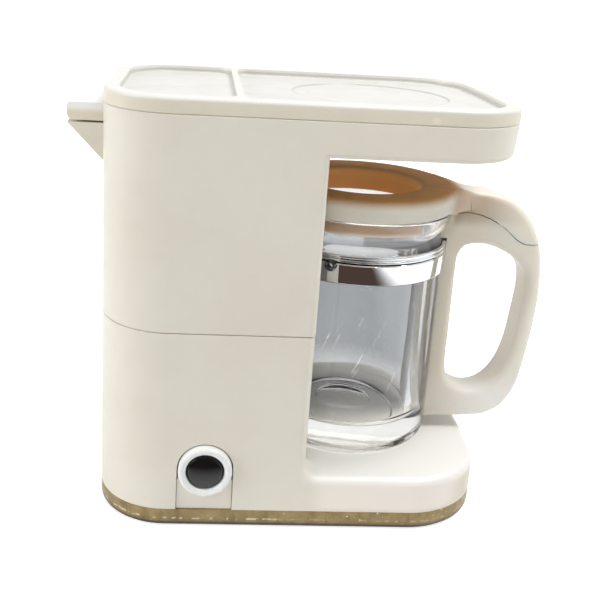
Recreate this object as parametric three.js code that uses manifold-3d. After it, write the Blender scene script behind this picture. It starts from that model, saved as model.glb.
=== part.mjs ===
// A toy drip coffee maker with a push button, a hinged top lid and a clear carafe that slides out.
// Millimetres. +Z is up, +X is the front where the carafe stands, the push button faces -Y.
import * as THREE from "three";
import { mergeVertices } from "three/addons/utils/BufferGeometryUtils.js";
import Module from "manifold-3d";

const wasm = await Module();
wasm.setup();

// Fits and general mouldings
const shellWall = 1.5;
const fitGap = 0.3;
const runningGap = 0.1;
const partingGap = 0.15;
const seamChamfer = 0.25;
const overrun = 1.2;

// Carafe
const jugRadius = 12.5;
const jugFlare = 0.25;
const jugWall = 2.4;
const jugFloor = 4;
const jugHeel = 1.8;
const jugFloorFillet = 1.3;
const puntRadius = 8.4;
const puntDepth = 0.6;
const floorMarkRadius = 4.2;
const floorMarkDepth = 0.35;
const bandRise = 26.7;
const bandHeight = 4.2;
const bandThickness = 0.45;
const bandBead = 0.9;
const bandGroove = 0.3;
const neckHeight = 4.6;
const neckWaist = 0.9;
const rimFlare = 1;
const rimWall = 1.5;
const eyeletRadius = 0.85;
const eyeletBore = 0.4;
const eyeletHeight = 0.45;
const eyeletAngleDegrees = -114.6;

// Lid of the carafe
const carafeLidHeight = 3.3;
const carafeLidPlate = 1.4;
const carafeLidSetback = 0.1;
const carafeLidRounding = 0.5;
const pourHoleRadius = 8.5;
const pourHoleRounding = 0.8;
const plugDepth = 0.7;
const plugWall = 1.3;
const plugGroove = 0.25;
const tongueBlend = 7;

// Handle of the carafe
const handleReach = 15.7;
const handleLift = 1.6;
const handleWidth = 5.6;
const handleRoundingShare = 0.075;

// Plan of the body
const nicheGap = 2.35;
const cheekWidth = 2.95;
const tankLength = 15.4;
const dividerWall = 1.4;
const nicheBackWall = 2.85;
const towerSetback = 7.6;
const headReach = 18.25;
const baseOverhang = 0.8;
const rearCornerRadius = 9.5;
const headCornerRadius = 8.5;
const baseCornerRadius = 10.5;
const frontBow = 0.9;
const towerEdgeRadius = 0.7;
const sharpCorner = 0.1;
const mergeDistance = 0.0001;

// Heights of the body, each counted from the one below
const skirtHeight = 2.8;
const deckRise = 5.2;
const footRise = 21.15;
const bayHeadroom = 6.4;
const headDepth = 4.7;
const lidHeight = 2.1;
const headFloor = 1.4;
const headDraft = 0.4;
const headEdgeRadius = 0.9;
const deckEdgeRadius = 1.5;
const deckFillet = 2;
const deckFilletInset = 0.4;
const skirtEdgeRadius = 0.9;
const lapHeight = 1.2;

// Top lid and its hinge
const lidRimWidth = 2;
const lidRimRounding = 0.5;
const lidRecess = 0.9;
const lidRecessDraft = 0.3;
const lidRidge = 0.9;
const lidRidgeCorner = 2;
const dishRadius = 11;
const dishDepth = 0.45;
const lipHeight = 1.2;
const lipWall = 1;
const lipRearGap = 3;
const hingeReach = 5.25;
const hingeWidth = 12;
const hingeLugHeight = 2.4;
const hingeLugCorner = 0.6;
const hingeBarrelRadius = 0.9;
const hingeDrop = 0.95;
const hingePinRadius = 0.4;
const hingePinCover = 0.8;
const hingePinBevel = 0.1;
const knuckleWidth = 4;
const bracketDepth = 5;
const bracketFoot = 0.5;

// Filter basket
const basketRadius = 8.8;
const basketTaper = 1.3;
const basketWall = 0.8;
const basketDrop = 1.2;
const basketFlange = 0.9;
const basketTopGap = 1.1;
const dripHoleRadius = 1.2;

// Push switch
const switchX = 15.05;
const switchRise = 6.3;
const bezelRadius = 3.63;
const bezelBore = 2.65;
const bezelProud = 1.1;
const bezelChamfer = 0.3;
const bezelBarrel = 2.1;
const slotGap = 0.27;
const fillerGap = 0.12;
const fillerRecess = 0.25;
const fillerHornDrop = 1.6;
const capRecess = 0.3;
const capCrown = 0.25;
const capGap = 0.15;
const capFlange = 0.25;
const capFlangeThickness = 0.8;
const stemRadius = 0.7;
const stemLength = 2.9;
const guideWall = 0.6;
const guideDepth = 5.8;
const guideFloor = 1;
const springRadius = 1.6;
const springWire = 0.4;

// Screws and the bosses that take them
const screwRadius = 0.6;
const screwHeadRadius = 1.2;
const screwHeadHeight = 0.7;
const screwLength = 4.6;
const screwDish = 0.12;
const screwSink = 0.15;
const bossRadius = 2.1;
const bossSink = 0.5;
const panFloor = 1.6;
const rearBossX = 7.6;
const frontBossInset = 8.6;
const towerBossHeight = 6;
const towerLugHeight = 2;
const towerBossInset = 5.4;

// How many straight pieces a curve takes
const cornerSteps = 7;
const edgeSteps = 3;
const roundSteps = 48;
const boreSteps = 24;
const smallSteps = 16;
const outlineSteps = 4;
const loopStepsPerPair = 3;
const springTurns = 4;
const springStepsPerTurn = 8;
const springSides = 5;

// Places that follow from the sizes
const bandRadius = jugRadius + runningGap + bandThickness;
const nicheRadius = bandRadius + nicheGap;
const bodyWidth = 2 * (nicheRadius + cheekWidth);
const dividerX = shellWall + tankLength + dividerWall / 2;
const brewX = dividerX + dividerWall / 2 + nicheBackWall + nicheRadius;
const towerLength = brewX - towerSetback;
const headLength = brewX + headReach;
const baseLength = headLength + baseOverhang;
const bayHeight = bandRise + bandHeight + neckHeight + carafeLidHeight + bayHeadroom;
const deckZ = skirtHeight + deckRise;
const seamZ = deckZ + footRise;
const soffitZ = deckZ + bayHeight;
const lidSeamZ = soffitZ + headDepth;
const rimZ = lidSeamZ + lidHeight;
const lugBottomZ = lidSeamZ - hingeDrop - hingeLugHeight;
const hingeAxisX = hingeBarrelRadius - hingeReach;
const hingeAxisZ = lugBottomZ + hingeBarrelRadius;
const switchZ = skirtHeight + switchRise;

const cream = { color: 0xe6e0d2, roughness: 0.38, metalness: 0 };
const ivory = { color: 0xeae6da, roughness: 0.35, metalness: 0 };
const gold = { color: 0x96824f, roughness: 0.42, metalness: 0.25 };
const clear = { color: 0xf2f5f5, roughness: 0.04, metalness: 0, transparent: true, opacity: 0.3 };
const chrome = { color: 0xd4d7da, roughness: 0.08, metalness: 1 };
const steel = { color: 0xa9acb0, roughness: 0.32, metalness: 1 };
const white = { color: 0xf0f2f0, roughness: 0.3, metalness: 0 };
const black = { color: 0x141414, roughness: 0.16, metalness: 0 };

// A closed geometry becomes a solid once its shared corners are one and its flat slivers are gone.
function solidFrom(geometry) {
  const bare = geometry.clone();
  bare.deleteAttribute("normal");
  bare.deleteAttribute("uv");
  const merged = mergeVertices(bare, mergeDistance);
  const corners = merged.index.array;
  const kept = [];
  for (let i = 0; i < corners.length; i += 3) {
    const [a, b, c] = [corners[i], corners[i + 1], corners[i + 2]];
    if (a !== b && b !== c && c !== a) kept.push([a, b, c]);
  }
  const made = (triangles) =>
    new wasm.Manifold(
      new wasm.Mesh({
        numProp: 3,
        vertProperties: new Float32Array(merged.attributes.position.array),
        triVerts: new Uint32Array(triangles.flat()),
      }),
    );
  const solid = made(kept);
  return solid.volume() > 0 ? solid : made(kept.map(([a, b, c]) => [a, c, b]));
}

function geometryOf(solid) {
  const mesh = solid.getMesh();
  const geometry = new THREE.BufferGeometry();
  geometry.setAttribute("position", new THREE.BufferAttribute(mesh.vertProperties, mesh.numProp));
  geometry.setIndex(new THREE.BufferAttribute(mesh.triVerts, 1));
  geometry.computeVertexNormals();
  return geometry;
}

function piece(name, solid, finish) {
  const mesh = new THREE.Mesh(geometryOf(solid), new THREE.MeshStandardMaterial(finish));
  mesh.name = name;
  return mesh;
}

const joined = (solids) => solids.reduce((sum, next) => sum.add(next));
const cut = (solid, cutters) => cutters.reduce((rest, next) => rest.subtract(next), solid);

function box(x0, x1, y0, y1, z0, z1) {
  const geometry = new THREE.BoxGeometry(x1 - x0, y1 - y0, z1 - z0);
  geometry.translate((x0 + x1) / 2, (y0 + y1) / 2, (z0 + z1) / 2);
  return solidFrom(geometry);
}

// A profile of radius and height turned round the Z axis.
function turned(profile, steps) {
  const points = profile.map(([r, z]) => new THREE.Vector2(r, z));
  const first = points[0];
  const last = points[points.length - 1];
  if (first.x > 0 || last.x > 0) points.push(first.clone());
  const geometry = new THREE.LatheGeometry(points, steps);
  geometry.rotateX(Math.PI / 2);
  return solidFrom(geometry);
}

const cylinder = (radius, z0, z1, steps) =>
  turned([[0, z0], [radius, z0], [radius, z1], [0, z1]], steps);

// The same, with its axis along Y: depth runs inwards from the front of the switch.
function turnedAlongY(profile, steps) {
  return turned(profile, steps).rotate([-90, 0, 0]);
}

// Points of a quarter turn between two radii, for profiles and for the levels of a rounded edge.
function quarter(steps) {
  return Array.from({ length: steps + 1 }, (_, i) => (i / steps) * (Math.PI / 2));
}

// The outline of the body from above: rounded rear corners and a front that bows out a little.
// The front corners meet the bow without a kink, and every inset keeps the same number of points.
function plan(length, frontRadius, bow, inset) {
  const half = bodyWidth / 2;
  const excess = Math.max(inset + sharpCorner - frontRadius, 0);
  const front = frontRadius + excess - inset;
  const bowRadius = bow > 0 ? (half ** 2 + bow ** 2) / (2 * bow) : 0;
  const lean = bow > 0 ? Math.asin((half - frontRadius) / (bowRadius - frontRadius)) : 0;
  const bowX = length - bowRadius;
  const flatFrontX = length - frontRadius - excess;
  const frontX = bow > 0 ? bowX + (bowRadius - frontRadius) * Math.cos(lean) : flatFrontX;
  const frontY = half - frontRadius - excess;
  const points = [];
  const corner = (cx, cy, radius, from, to) => {
    for (let i = 0; i <= cornerSteps; i++) {
      const turn = from + ((to - from) * i) / cornerSteps;
      points.push([cx + radius * Math.cos(turn), cy + radius * Math.sin(turn)]);
    }
  };
  corner(frontX, -frontY, front, -Math.PI / 2, -lean);
  for (let i = 1; i < outlineSteps; i++) {
    const share = (2 * i) / outlineSteps - 1;
    const onBow = bowX + (bowRadius - inset) * Math.cos(lean * share);
    const y = bow > 0 ? (bowRadius - inset) * Math.sin(lean * share) : frontY * share;
    points.push([bow > 0 ? onBow : length - inset, y]);
  }
  corner(frontX, frontY, front, lean, Math.PI / 2);
  const rear = rearCornerRadius - inset;
  corner(rearCornerRadius, half - rearCornerRadius, rear, Math.PI / 2, Math.PI);
  corner(rearCornerRadius, rearCornerRadius - half, rear, Math.PI, Math.PI * 1.5);
  return points;
}

// A solid stretched over rings of equal point counts; it closes on itself or gets a flat end each way.
function skin(rings, endless) {
  const count = rings[0].length;
  const geometry = new THREE.BufferGeometry();
  geometry.setAttribute("position", new THREE.Float32BufferAttribute(rings.flat(2), 3));
  const index = [];
  const spans = endless ? rings.length : rings.length - 1;
  for (let ring = 0; ring < spans; ring++) {
    for (let i = 0; i < count; i++) {
      const a = ring * count + i;
      const b = ring * count + ((i + 1) % count);
      const next = (((ring + 1) % rings.length) - ring) * count;
      index.push(a, b, a + next, b, b + next, a + next);
    }
  }
  const last = (rings.length - 1) * count;
  for (let i = 1; !endless && i + 1 < count; i++) {
    index.push(0, i + 1, i);
    index.push(last, last + i, last + i + 1);
  }
  geometry.setIndex(index);
  return solidFrom(geometry);
}

const loft = (levels) => skin(levels.map(({ outline, z }) => outline.map(([x, y]) => [x, y, z])), false);

// A slab of one outline with rounded lower and upper edges; outlineAt gives the outline at an inset.
function roundedSlab(outlineAt, z0, z1, lowerRadius, upperRadius) {
  const levels = [];
  for (const turn of quarter(edgeSteps)) {
    levels.push({
      outline: outlineAt(lowerRadius * (1 - Math.sin(turn)), 0),
      z: z0 + lowerRadius * (1 - Math.cos(turn)),
    });
  }
  for (const turn of quarter(edgeSteps)) {
    levels.push({
      outline: outlineAt(upperRadius * (1 - Math.cos(turn)), 1),
      z: z1 - upperRadius * (1 - Math.sin(turn)),
    });
  }
  return loft(levels);
}

const prism = (outline, z0, z1) => loft([{ outline, z: z0 }, { outline, z: z1 }]);

// A side profile of x and z, run across the body between two y.
function across(shape, y0, y1, steps) {
  const geometry = new THREE.ExtrudeGeometry(shape, {
    depth: y1 - y0,
    bevelEnabled: false,
    curveSegments: steps,
  });
  geometry.rotateX(Math.PI / 2);
  geometry.translate(0, y1, 0);
  return solidFrom(geometry);
}

const basePlan = (inset) => plan(baseLength, baseCornerRadius, frontBow, inset);
const headPlan = (inset) => plan(headLength, headCornerRadius, frontBow, inset);
const towerPlan = (inset) => plan(towerLength, towerEdgeRadius, 0, inset);

const atBrewAxis = (solid) => solid.translate([brewX, 0, 0]);
const nicheCutter = (radius, z0, z1) => atBrewAxis(cylinder(radius, z0, z1, roundSteps));

// One wall-thick frame of the tower, used for the lap joint of the two housings.
function lapRing(outerInset, innerInset, z0, z1) {
  const ring = cut(prism(towerPlan(outerInset), z0, z1), [
    prism(towerPlan(innerInset), z0 - overrun, z1 + overrun),
  ]);
  const front = dividerX;
  return cut(ring, [box(front, baseLength, -bodyWidth, bodyWidth, z0 - overrun, z1 + overrun)]);
}

const sides = [["near", -1], ["far", 1]];
const baseBosses = sides.flatMap(([side, sign]) => [
  { name: "rear_" + side, x: rearBossX, y: sign * (bodyWidth / 2 - shellWall - bossRadius + bossSink) },
  {
    name: "front_" + side,
    x: baseLength - frontBossInset,
    y: sign * (bodyWidth / 2 - shellWall - bossRadius + bossSink),
  },
]);
const towerBosses = sides.map(([side, sign]) => ({
  name: side,
  x: towerLength - towerBossInset,
  y: sign * (bodyWidth / 2 - shellWall - bossRadius + bossSink),
}));

const boss = ({ x, y }, z0, z1) => cylinder(bossRadius, z0, z1, smallSteps).translate([x, y, 0]);
const screwHole = ({ x, y }, radius, z0, z1) => cylinder(radius, z0, z1, smallSteps).translate([x, y, 0]);

// A pan head screw that points up, with its head at height zero.
function screw() {
  return turned(
    [
      [0, screwDish],
      [screwHeadRadius - screwDish, 0],
      [screwHeadRadius, screwDish],
      [screwHeadRadius, screwHeadHeight],
      [screwRadius, screwHeadHeight],
      [screwRadius, screwHeadHeight + screwLength - screwRadius],
      [0, screwHeadHeight + screwLength],
    ],
    smallSteps,
  );
}

// The gold pan that closes the body below.
function basePan() {
  const pan = roundedSlab((inset) => basePlan(inset), 0, skirtHeight, skirtEdgeRadius, 0);
  const hollow = prism(basePlan(shellWall), panFloor, skirtHeight + overrun);
  const holes = baseBosses.flatMap((at) => [
    screwHole(at, screwRadius + runningGap, -overrun, skirtHeight),
    screwHole(at, screwHeadRadius + runningGap, -overrun, screwSink + screwHeadHeight),
  ]);
  return cut(pan, [hollow, ...holes]);
}

// The slot for the switch: straight sides that end in an arch round the bezel.
function slotCutter() {
  const radius = bezelRadius + slotGap;
  const shape = new THREE.Shape();
  shape.moveTo(switchX - radius, skirtHeight - overrun);
  shape.lineTo(switchX + radius, skirtHeight - overrun);
  shape.lineTo(switchX + radius, switchZ);
  shape.absarc(switchX, switchZ, radius, 0, Math.PI, false);
  return across(shape, -bodyWidth / 2 - overrun, shellWall + overrun - bodyWidth / 2, boreSteps);
}

// The fillet where the near and far cheeks of the tower run out onto the deck.
function deckFilletBody() {
  const shape = new THREE.Shape();
  shape.moveTo(towerLength - deckFillet, deckZ - deckFillet);
  shape.lineTo(towerLength + deckFillet, deckZ - deckFillet);
  shape.lineTo(towerLength + deckFillet, deckZ);
  shape.absarc(towerLength + deckFillet, deckZ + deckFillet, deckFillet, -Math.PI / 2, -Math.PI, true);
  shape.lineTo(towerLength - deckFillet, deckZ + deckFillet);
  return across(shape, deckFilletInset - bodyWidth / 2, bodyWidth / 2 - deckFilletInset, cornerSteps);
}

// The lower housing: the foot of the tower and the deck that the carafe stands on.
function lowerHousing() {
  const tower = roundedSlab((inset) => towerPlan(inset), skirtHeight, seamZ, 0, seamChamfer);
  const deck = roundedSlab((inset) => basePlan(inset), skirtHeight, deckZ, 0, deckEdgeRadius);
  const outside = cut(joined([tower, deck, deckFilletBody()]), [
    nicheCutter(nicheRadius, deckZ, seamZ + overrun),
  ]);
  const deckRoom = prism(basePlan(shellWall), skirtHeight - overrun, deckZ - shellWall);
  const towerRoom = cut(prism(towerPlan(shellWall), skirtHeight - overrun, seamZ + overrun), [
    nicheCutter(nicheRadius + shellWall, deckZ - shellWall, seamZ + overrun),
  ]);
  const shell = cut(outside, [deckRoom, towerRoom]);
  const lap = lapRing(shellWall / 2, shellWall, seamZ - lapHeight, seamZ + lapHeight);
  const posts = baseBosses.map((at) => boss(at, panFloor, deckZ - shellWall / 2));
  const lugs = towerBosses.map((at) => boss(at, seamZ - towerLugHeight, seamZ));
  const trimmed = joined([...posts, ...lugs]).intersect(
    joined([
      prism(basePlan(shellWall + partingGap), 0, skirtHeight),
      prism(basePlan(shellWall / 2), skirtHeight, deckZ - shellWall / 2),
      cut(prism(towerPlan(shellWall / 2), deckZ - shellWall, seamZ), [
        nicheCutter(nicheRadius + shellWall / 2, deckZ, seamZ + overrun),
      ]),
    ]),
  );
  const pilots = [
    ...baseBosses.map((at) => {
      return screwHole(at, screwRadius + runningGap, 0, screwSink + screwHeadHeight + screwLength + runningGap);
    }),
    ...towerBosses.map((at) => {
      return screwHole(at, screwRadius + runningGap, seamZ - towerLugHeight - overrun, seamZ + overrun);
    }),
  ];
  return cut(joined([shell, lap, trimmed]), [slotCutter(), ...pilots]);
}

// Lower half of the hinge block: a wedge on the rear wall with one knuckle in the middle.
function hingeBracket() {
  const top = lugBottomZ - fitGap;
  const wedge = new THREE.Shape();
  wedge.moveTo(shellWall, top);
  wedge.lineTo(-hingeReach, top);
  wedge.lineTo(-bracketFoot, top - bracketDepth);
  wedge.lineTo(shellWall, top - bracketDepth - bracketFoot);
  const knuckle = new THREE.Shape();
  knuckle.moveTo(hingeAxisX + hingeBarrelRadius, top - hingePinRadius);
  knuckle.lineTo(hingeAxisX + hingeBarrelRadius, hingeAxisZ);
  knuckle.absarc(hingeAxisX, hingeAxisZ, hingeBarrelRadius, 0, Math.PI, false);
  knuckle.lineTo(hingeAxisX - hingeBarrelRadius, top);
  return joined([
    across(wedge, -hingeWidth / 2, hingeWidth / 2, boreSteps),
    across(knuckle, -knuckleWidth / 2, knuckleWidth / 2, smallSteps),
  ]);
}

// The bore for the hinge pin: closed behind the near face of the block and open at the far one.
function hingeBore() {
  const radius = hingePinRadius + runningGap;
  const near = hingePinCover - hingeWidth / 2;
  const far = hingeWidth / 2 + overrun;
  return turnedAlongY([[0, near], [radius, near], [radius, far], [0, far]], smallSteps)
    .translate([hingeAxisX, 0, hingeAxisZ]);
}

// The upper housing: the tank in the tower, the head over the carafe and the hinge bracket.
function upperHousing() {
  const tower = roundedSlab((inset) => towerPlan(inset), seamZ, lidSeamZ, seamChamfer, 0);
  const head = roundedSlab(
    (inset, level) => plan(headLength - headDraft * (1 - level), headCornerRadius, frontBow, inset),
    soffitZ,
    lidSeamZ,
    headEdgeRadius,
    0,
  );
  const outside = cut(joined([tower, head, hingeBracket()]), [
    nicheCutter(nicheRadius, seamZ - overrun, soffitZ),
  ]);
  const wellTop = lidSeamZ + overrun;
  const tank = prism(headPlan(shellWall), seamZ + lapHeight + shellWall, wellTop).intersect(
    box(0, dividerX - dividerWall / 2, -bodyWidth, bodyWidth, 0, wellTop),
  );
  const frontWell = prism(headPlan(shellWall + headDraft), soffitZ + headFloor, wellTop).intersect(
    box(dividerX + dividerWall / 2, headLength, -bodyWidth, bodyWidth, 0, wellTop),
  );
  const dividerTop = box(
    dividerX - dividerWall,
    dividerX + dividerWall,
    shellWall - bodyWidth / 2,
    bodyWidth / 2 - shellWall,
    lidSeamZ - lipHeight - fitGap,
    wellTop,
  );
  const pocket = cut(
    prism(towerPlan(shellWall), seamZ - overrun, soffitZ - shellWall).intersect(
      box(dividerX + dividerWall / 2, towerLength, -bodyWidth, bodyWidth, 0, soffitZ),
    ),
    [nicheCutter(nicheRadius + shellWall, 0, soffitZ)],
  );
  const lapTop = seamZ + lapHeight + fitGap;
  const lap = lapRing(shellWall / 2 - partingGap, shellWall + overrun, seamZ - overrun, lapTop);
  const notch = box(
    -overrun,
    shellWall + overrun,
    -hingeWidth / 2 - fitGap,
    hingeWidth / 2 + fitGap,
    lugBottomZ - fitGap,
    wellTop,
  );
  const basketHole = atBrewAxis(cylinder(basketRadius + fitGap, soffitZ - overrun, wellTop, roundSteps));
  const posts = joined(towerBosses.map((at) => boss(at, seamZ, seamZ + towerBossHeight))).intersect(
    cut(prism(towerPlan(shellWall / 2), seamZ, soffitZ), [
      nicheCutter(nicheRadius + shellWall / 2, 0, soffitZ),
    ]),
  );
  const pilots = towerBosses.map((at) =>
    screwHole(at, screwRadius + runningGap, seamZ - overrun, seamZ + screwLength - towerLugHeight + runningGap),
  );
  const shell = cut(outside, [tank, frontWell, dividerTop, pocket, lap, notch, basketHole]);
  return cut(shell.add(posts), [...pilots, hingeBore()]);
}

// The top lid: a rimmed plate with a tank recess, a filter recess and a shallow dish over the brew axis.
function topLid() {
  const plate = roundedSlab((inset) => headPlan(inset), lidSeamZ, rimZ, seamChamfer, lidRimRounding);
  const floorZ = rimZ - lidRecess;
  const recess = (x0, x1) => {
    const outline = (inset) => headPlan(lidRimWidth + inset);
    const whole = loft([
      { outline: outline(lidRecessDraft), z: floorZ },
      { outline: outline(-lidRecessDraft), z: rimZ + lidRecessDraft },
    ]);
    return whole.intersect(roundedWindow(x0, x1, floorZ - overrun, rimZ + overrun));
  };
  const dishSphere = (dishRadius ** 2 + dishDepth ** 2) / (2 * dishDepth);
  const dishProfile = [[0, floorZ - dishDepth]];
  for (let i = 1; i <= outlineSteps; i++) {
    const r = (dishRadius * i) / outlineSteps;
    dishProfile.push([r, floorZ - dishDepth + dishSphere - Math.sqrt(dishSphere ** 2 - r ** 2)]);
  }
  dishProfile.push([dishRadius, floorZ + lidRecess / 2], [0, floorZ + lidRecess / 2]);
  const lipPlan = headPlan(shellWall + headDraft + fitGap);
  const lip = cut(prism(lipPlan, lidSeamZ - lipHeight, lidSeamZ + seamChamfer), [
    prism(headPlan(shellWall + headDraft + fitGap + lipWall), 0, rimZ),
    box(-overrun, shellWall + lipRearGap, -bodyWidth, bodyWidth, 0, rimZ),
  ]);
  return cut(joined([plate, lip, hingeLug()]), [
    recess(0, dividerX - lidRidge / 2),
    recess(dividerX + lidRidge / 2, headLength),
    atBrewAxis(turned(dishProfile, roundSteps)),
    hingeBore(),
  ]);
}

// A window between two x with rounded corners, for the recesses beside the ridge of the lid.
function roundedWindow(x0, x1, z0, z1) {
  const half = bodyWidth / 2 - lidRimWidth;
  const shape = new THREE.Shape();
  shape.moveTo(x0 + lidRidgeCorner, -half);
  shape.lineTo(x1 - lidRidgeCorner, -half);
  shape.absarc(x1 - lidRidgeCorner, lidRidgeCorner - half, lidRidgeCorner, -Math.PI / 2, 0, false);
  shape.absarc(x1 - lidRidgeCorner, half - lidRidgeCorner, lidRidgeCorner, 0, Math.PI / 2, false);
  shape.absarc(x0 + lidRidgeCorner, half - lidRidgeCorner, lidRidgeCorner, Math.PI / 2, Math.PI, false);
  shape.absarc(x0 + lidRidgeCorner, lidRidgeCorner - half, lidRidgeCorner, Math.PI, Math.PI * 1.5, false);
  const geometry = new THREE.ExtrudeGeometry(shape, {
    depth: z1 - z0,
    bevelEnabled: false,
    curveSegments: outlineSteps,
  });
  geometry.translate(0, 0, z0);
  return solidFrom(geometry);
}

// Upper half of the hinge block, on the lid: it reaches out through a notch in the rear wall.
function hingeLug() {
  const bottom = lugBottomZ;
  const top = lugBottomZ + hingeLugHeight;
  const cornerX = hingeLugCorner - hingeReach;
  const webX = shellWall - fitGap;
  const shape = new THREE.Shape();
  shape.moveTo(webX, bottom);
  shape.lineTo(webX, lidSeamZ + seamChamfer * 2);
  shape.lineTo(seamChamfer, lidSeamZ + seamChamfer * 2);
  shape.lineTo(0, lidSeamZ);
  shape.lineTo(0, top);
  shape.lineTo(cornerX, top);
  shape.absarc(cornerX, top - hingeLugCorner, hingeLugCorner, Math.PI / 2, Math.PI, false);
  shape.absarc(hingeAxisX, hingeAxisZ, hingeBarrelRadius, Math.PI, Math.PI * 1.5, false);
  const lug = across(shape, -hingeWidth / 2, hingeWidth / 2, smallSteps);
  const room = box(
    -hingeReach - overrun,
    hingeAxisX + hingeBarrelRadius + fitGap,
    -knuckleWidth / 2 - fitGap,
    knuckleWidth / 2 + fitGap,
    bottom - overrun,
    hingeAxisZ + hingeBarrelRadius + fitGap,
  );
  return lug.subtract(room);
}

function hingePin() {
  const near = hingePinCover + partingGap - hingeWidth / 2;
  const far = hingeWidth / 2 - partingGap;
  return turnedAlongY(
    [
      [0, near],
      [hingePinRadius - hingePinBevel, near],
      [hingePinRadius, near + hingePinBevel],
      [hingePinRadius, far - hingePinBevel],
      [hingePinRadius - hingePinBevel, far],
      [0, far],
    ],
    smallSteps,
  ).translate([hingeAxisX, 0, hingeAxisZ]);
}

// The filter basket hangs in the head by its flange and drips through a hole in its floor.
function filterBasket() {
  const floorZ = soffitZ - basketDrop;
  const seatZ = soffitZ + headFloor;
  const topZ = lidSeamZ - basketTopGap;
  const low = basketRadius - basketTaper;
  return turned(
    [
      [dripHoleRadius, floorZ],
      [low, floorZ],
      [basketRadius, seatZ],
      [basketRadius, topZ - basketWall],
      [basketRadius, topZ],
      [basketRadius - basketWall, topZ],
      [basketRadius - basketWall, seatZ],
      [low - basketWall, floorZ + basketWall],
      [dripHoleRadius, floorZ + basketWall],
    ],
    roundSteps,
  ).add(
    turned(
      [
        [basketRadius - basketWall / 2, seatZ],
        [basketRadius + fitGap + basketFlange, seatZ],
        [basketRadius + fitGap + basketFlange, seatZ + basketWall],
        [basketRadius - basketWall / 2, seatZ + basketWall],
      ],
      roundSteps,
    ),
  );
}

// Pieces of the switch, turned about its axis with depth zero at the front of the bezel.
const inSwitch = (profile, steps) =>
  turnedAlongY(profile, steps).translate([switchX, -bodyWidth / 2 - bezelProud, switchZ]);

const bezelLength = bezelProud + bezelBarrel;

function switchBezel() {
  return inSwitch(
    [
      [bezelBore, bezelChamfer],
      [bezelBore + bezelChamfer, 0],
      [bezelRadius - bezelChamfer, 0],
      [bezelRadius, bezelChamfer],
      [bezelRadius, bezelLength],
      [bezelBore, bezelLength],
    ],
    roundSteps,
  );
}

function buttonCap() {
  const radius = bezelBore - capGap;
  const flangeAt = bezelLength + runningGap;
  const crown = Array.from({ length: outlineSteps + 1 }, (_, i) => {
    const share = i / outlineSteps;
    return [(radius - capCrown) * share, capRecess - capCrown * (1 - share ** 2)];
  });
  return inSwitch(
    [
      ...crown,
      [radius, capRecess + capCrown],
      [radius, flangeAt],
      [bezelBore + capFlange, flangeAt],
      [bezelBore + capFlange, flangeAt + capFlangeThickness],
      [stemRadius, flangeAt + capFlangeThickness],
      [stemRadius, flangeAt + capFlangeThickness + stemLength],
      [0, flangeAt + capFlangeThickness + stemLength],
    ],
    boreSteps,
  );
}

function buttonGuide() {
  return inSwitch(
    [
      [bezelRadius - guideWall, bezelLength],
      [bezelRadius, bezelLength],
      [bezelRadius, bezelLength + guideDepth],
      [0, bezelLength + guideDepth],
      [0, bezelLength + guideDepth - guideFloor],
      [bezelRadius - guideWall, bezelLength + guideDepth - guideFloor],
    ],
    boreSteps,
  );
}

// The plate that fills the slot below the bezel.
function slotFiller() {
  const half = bezelRadius + slotGap - fillerGap;
  const shape = new THREE.Shape();
  shape.moveTo(switchX - half, skirtHeight);
  shape.lineTo(switchX + half, skirtHeight);
  shape.lineTo(switchX + half, switchZ - fillerHornDrop);
  shape.lineTo(switchX - half, switchZ - fillerHornDrop);
  const front = fillerRecess - bodyWidth / 2;
  const plate = across(shape, front, shellWall - bodyWidth / 2, boreSteps);
  const room = inSwitch(
    [
      [0, -overrun],
      [bezelRadius + fillerGap, -overrun],
      [bezelRadius + fillerGap, bezelLength],
      [0, bezelLength],
    ],
    roundSteps,
  );
  return plate.subtract(room);
}

// The return spring, one round wire wound round the stem; the least gap between turns is printed.
function buttonSpring() {
  const start = bezelLength + runningGap + capFlangeThickness + springWire / 2 + runningGap;
  const end = bezelLength + guideDepth - guideFloor - springWire / 2 - runningGap;
  const pitch = (end - start) / springTurns;
  const gap = pitch - springWire;
  console.log("least gap between turns of the button spring " + gap.toFixed(2) + " mm");
  const count = springTurns * springStepsPerTurn;
  const rings = Array.from({ length: count + 1 }, (_, i) => {
    const turn = (i / springStepsPerTurn) * Math.PI * 2;
    const depth = start + (end - start) * (i / count);
    return Array.from({ length: springSides }, (_, side) => {
      const about = (side / springSides) * Math.PI * 2;
      const out = springRadius + (springWire / 2) * Math.cos(about);
      return [out * Math.cos(turn), depth + (springWire / 2) * Math.sin(about), out * Math.sin(turn)];
    });
  });
  return skin(rings, false).translate([switchX, -bodyWidth / 2 - bezelProud, switchZ]);
}

// Heights of the carafe, counted from the deck.
const bandTop = bandRise + bandHeight;
const jugRim = bandTop + neckHeight;
const rimRadius = jugRadius + rimFlare;
const waistRadius = jugRadius - neckWaist;

// The outside of the jug from heel to rim, set off by a gap where another piece is cut to it.
function jugOutside(gap) {
  const points = [];
  for (const turn of quarter(edgeSteps)) {
    points.push([
      jugRadius + jugFlare - jugHeel * (1 - Math.sin(turn)) + gap,
      jugHeel * (1 - Math.cos(turn)),
    ]);
  }
  points.push([jugRadius + gap, bandRise], [jugRadius + gap, bandTop]);
  points.push([waistRadius + gap, bandTop + neckWaist]);
  for (let i = 1; i <= outlineSteps; i++) {
    const share = i / outlineSteps;
    const rise = (neckHeight - neckWaist) * share;
    points.push([
      waistRadius + (rimRadius - waistRadius) * Math.sin((share * Math.PI) / 2) + gap,
      bandTop + neckWaist + rise,
    ]);
  }
  return points;
}

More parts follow.
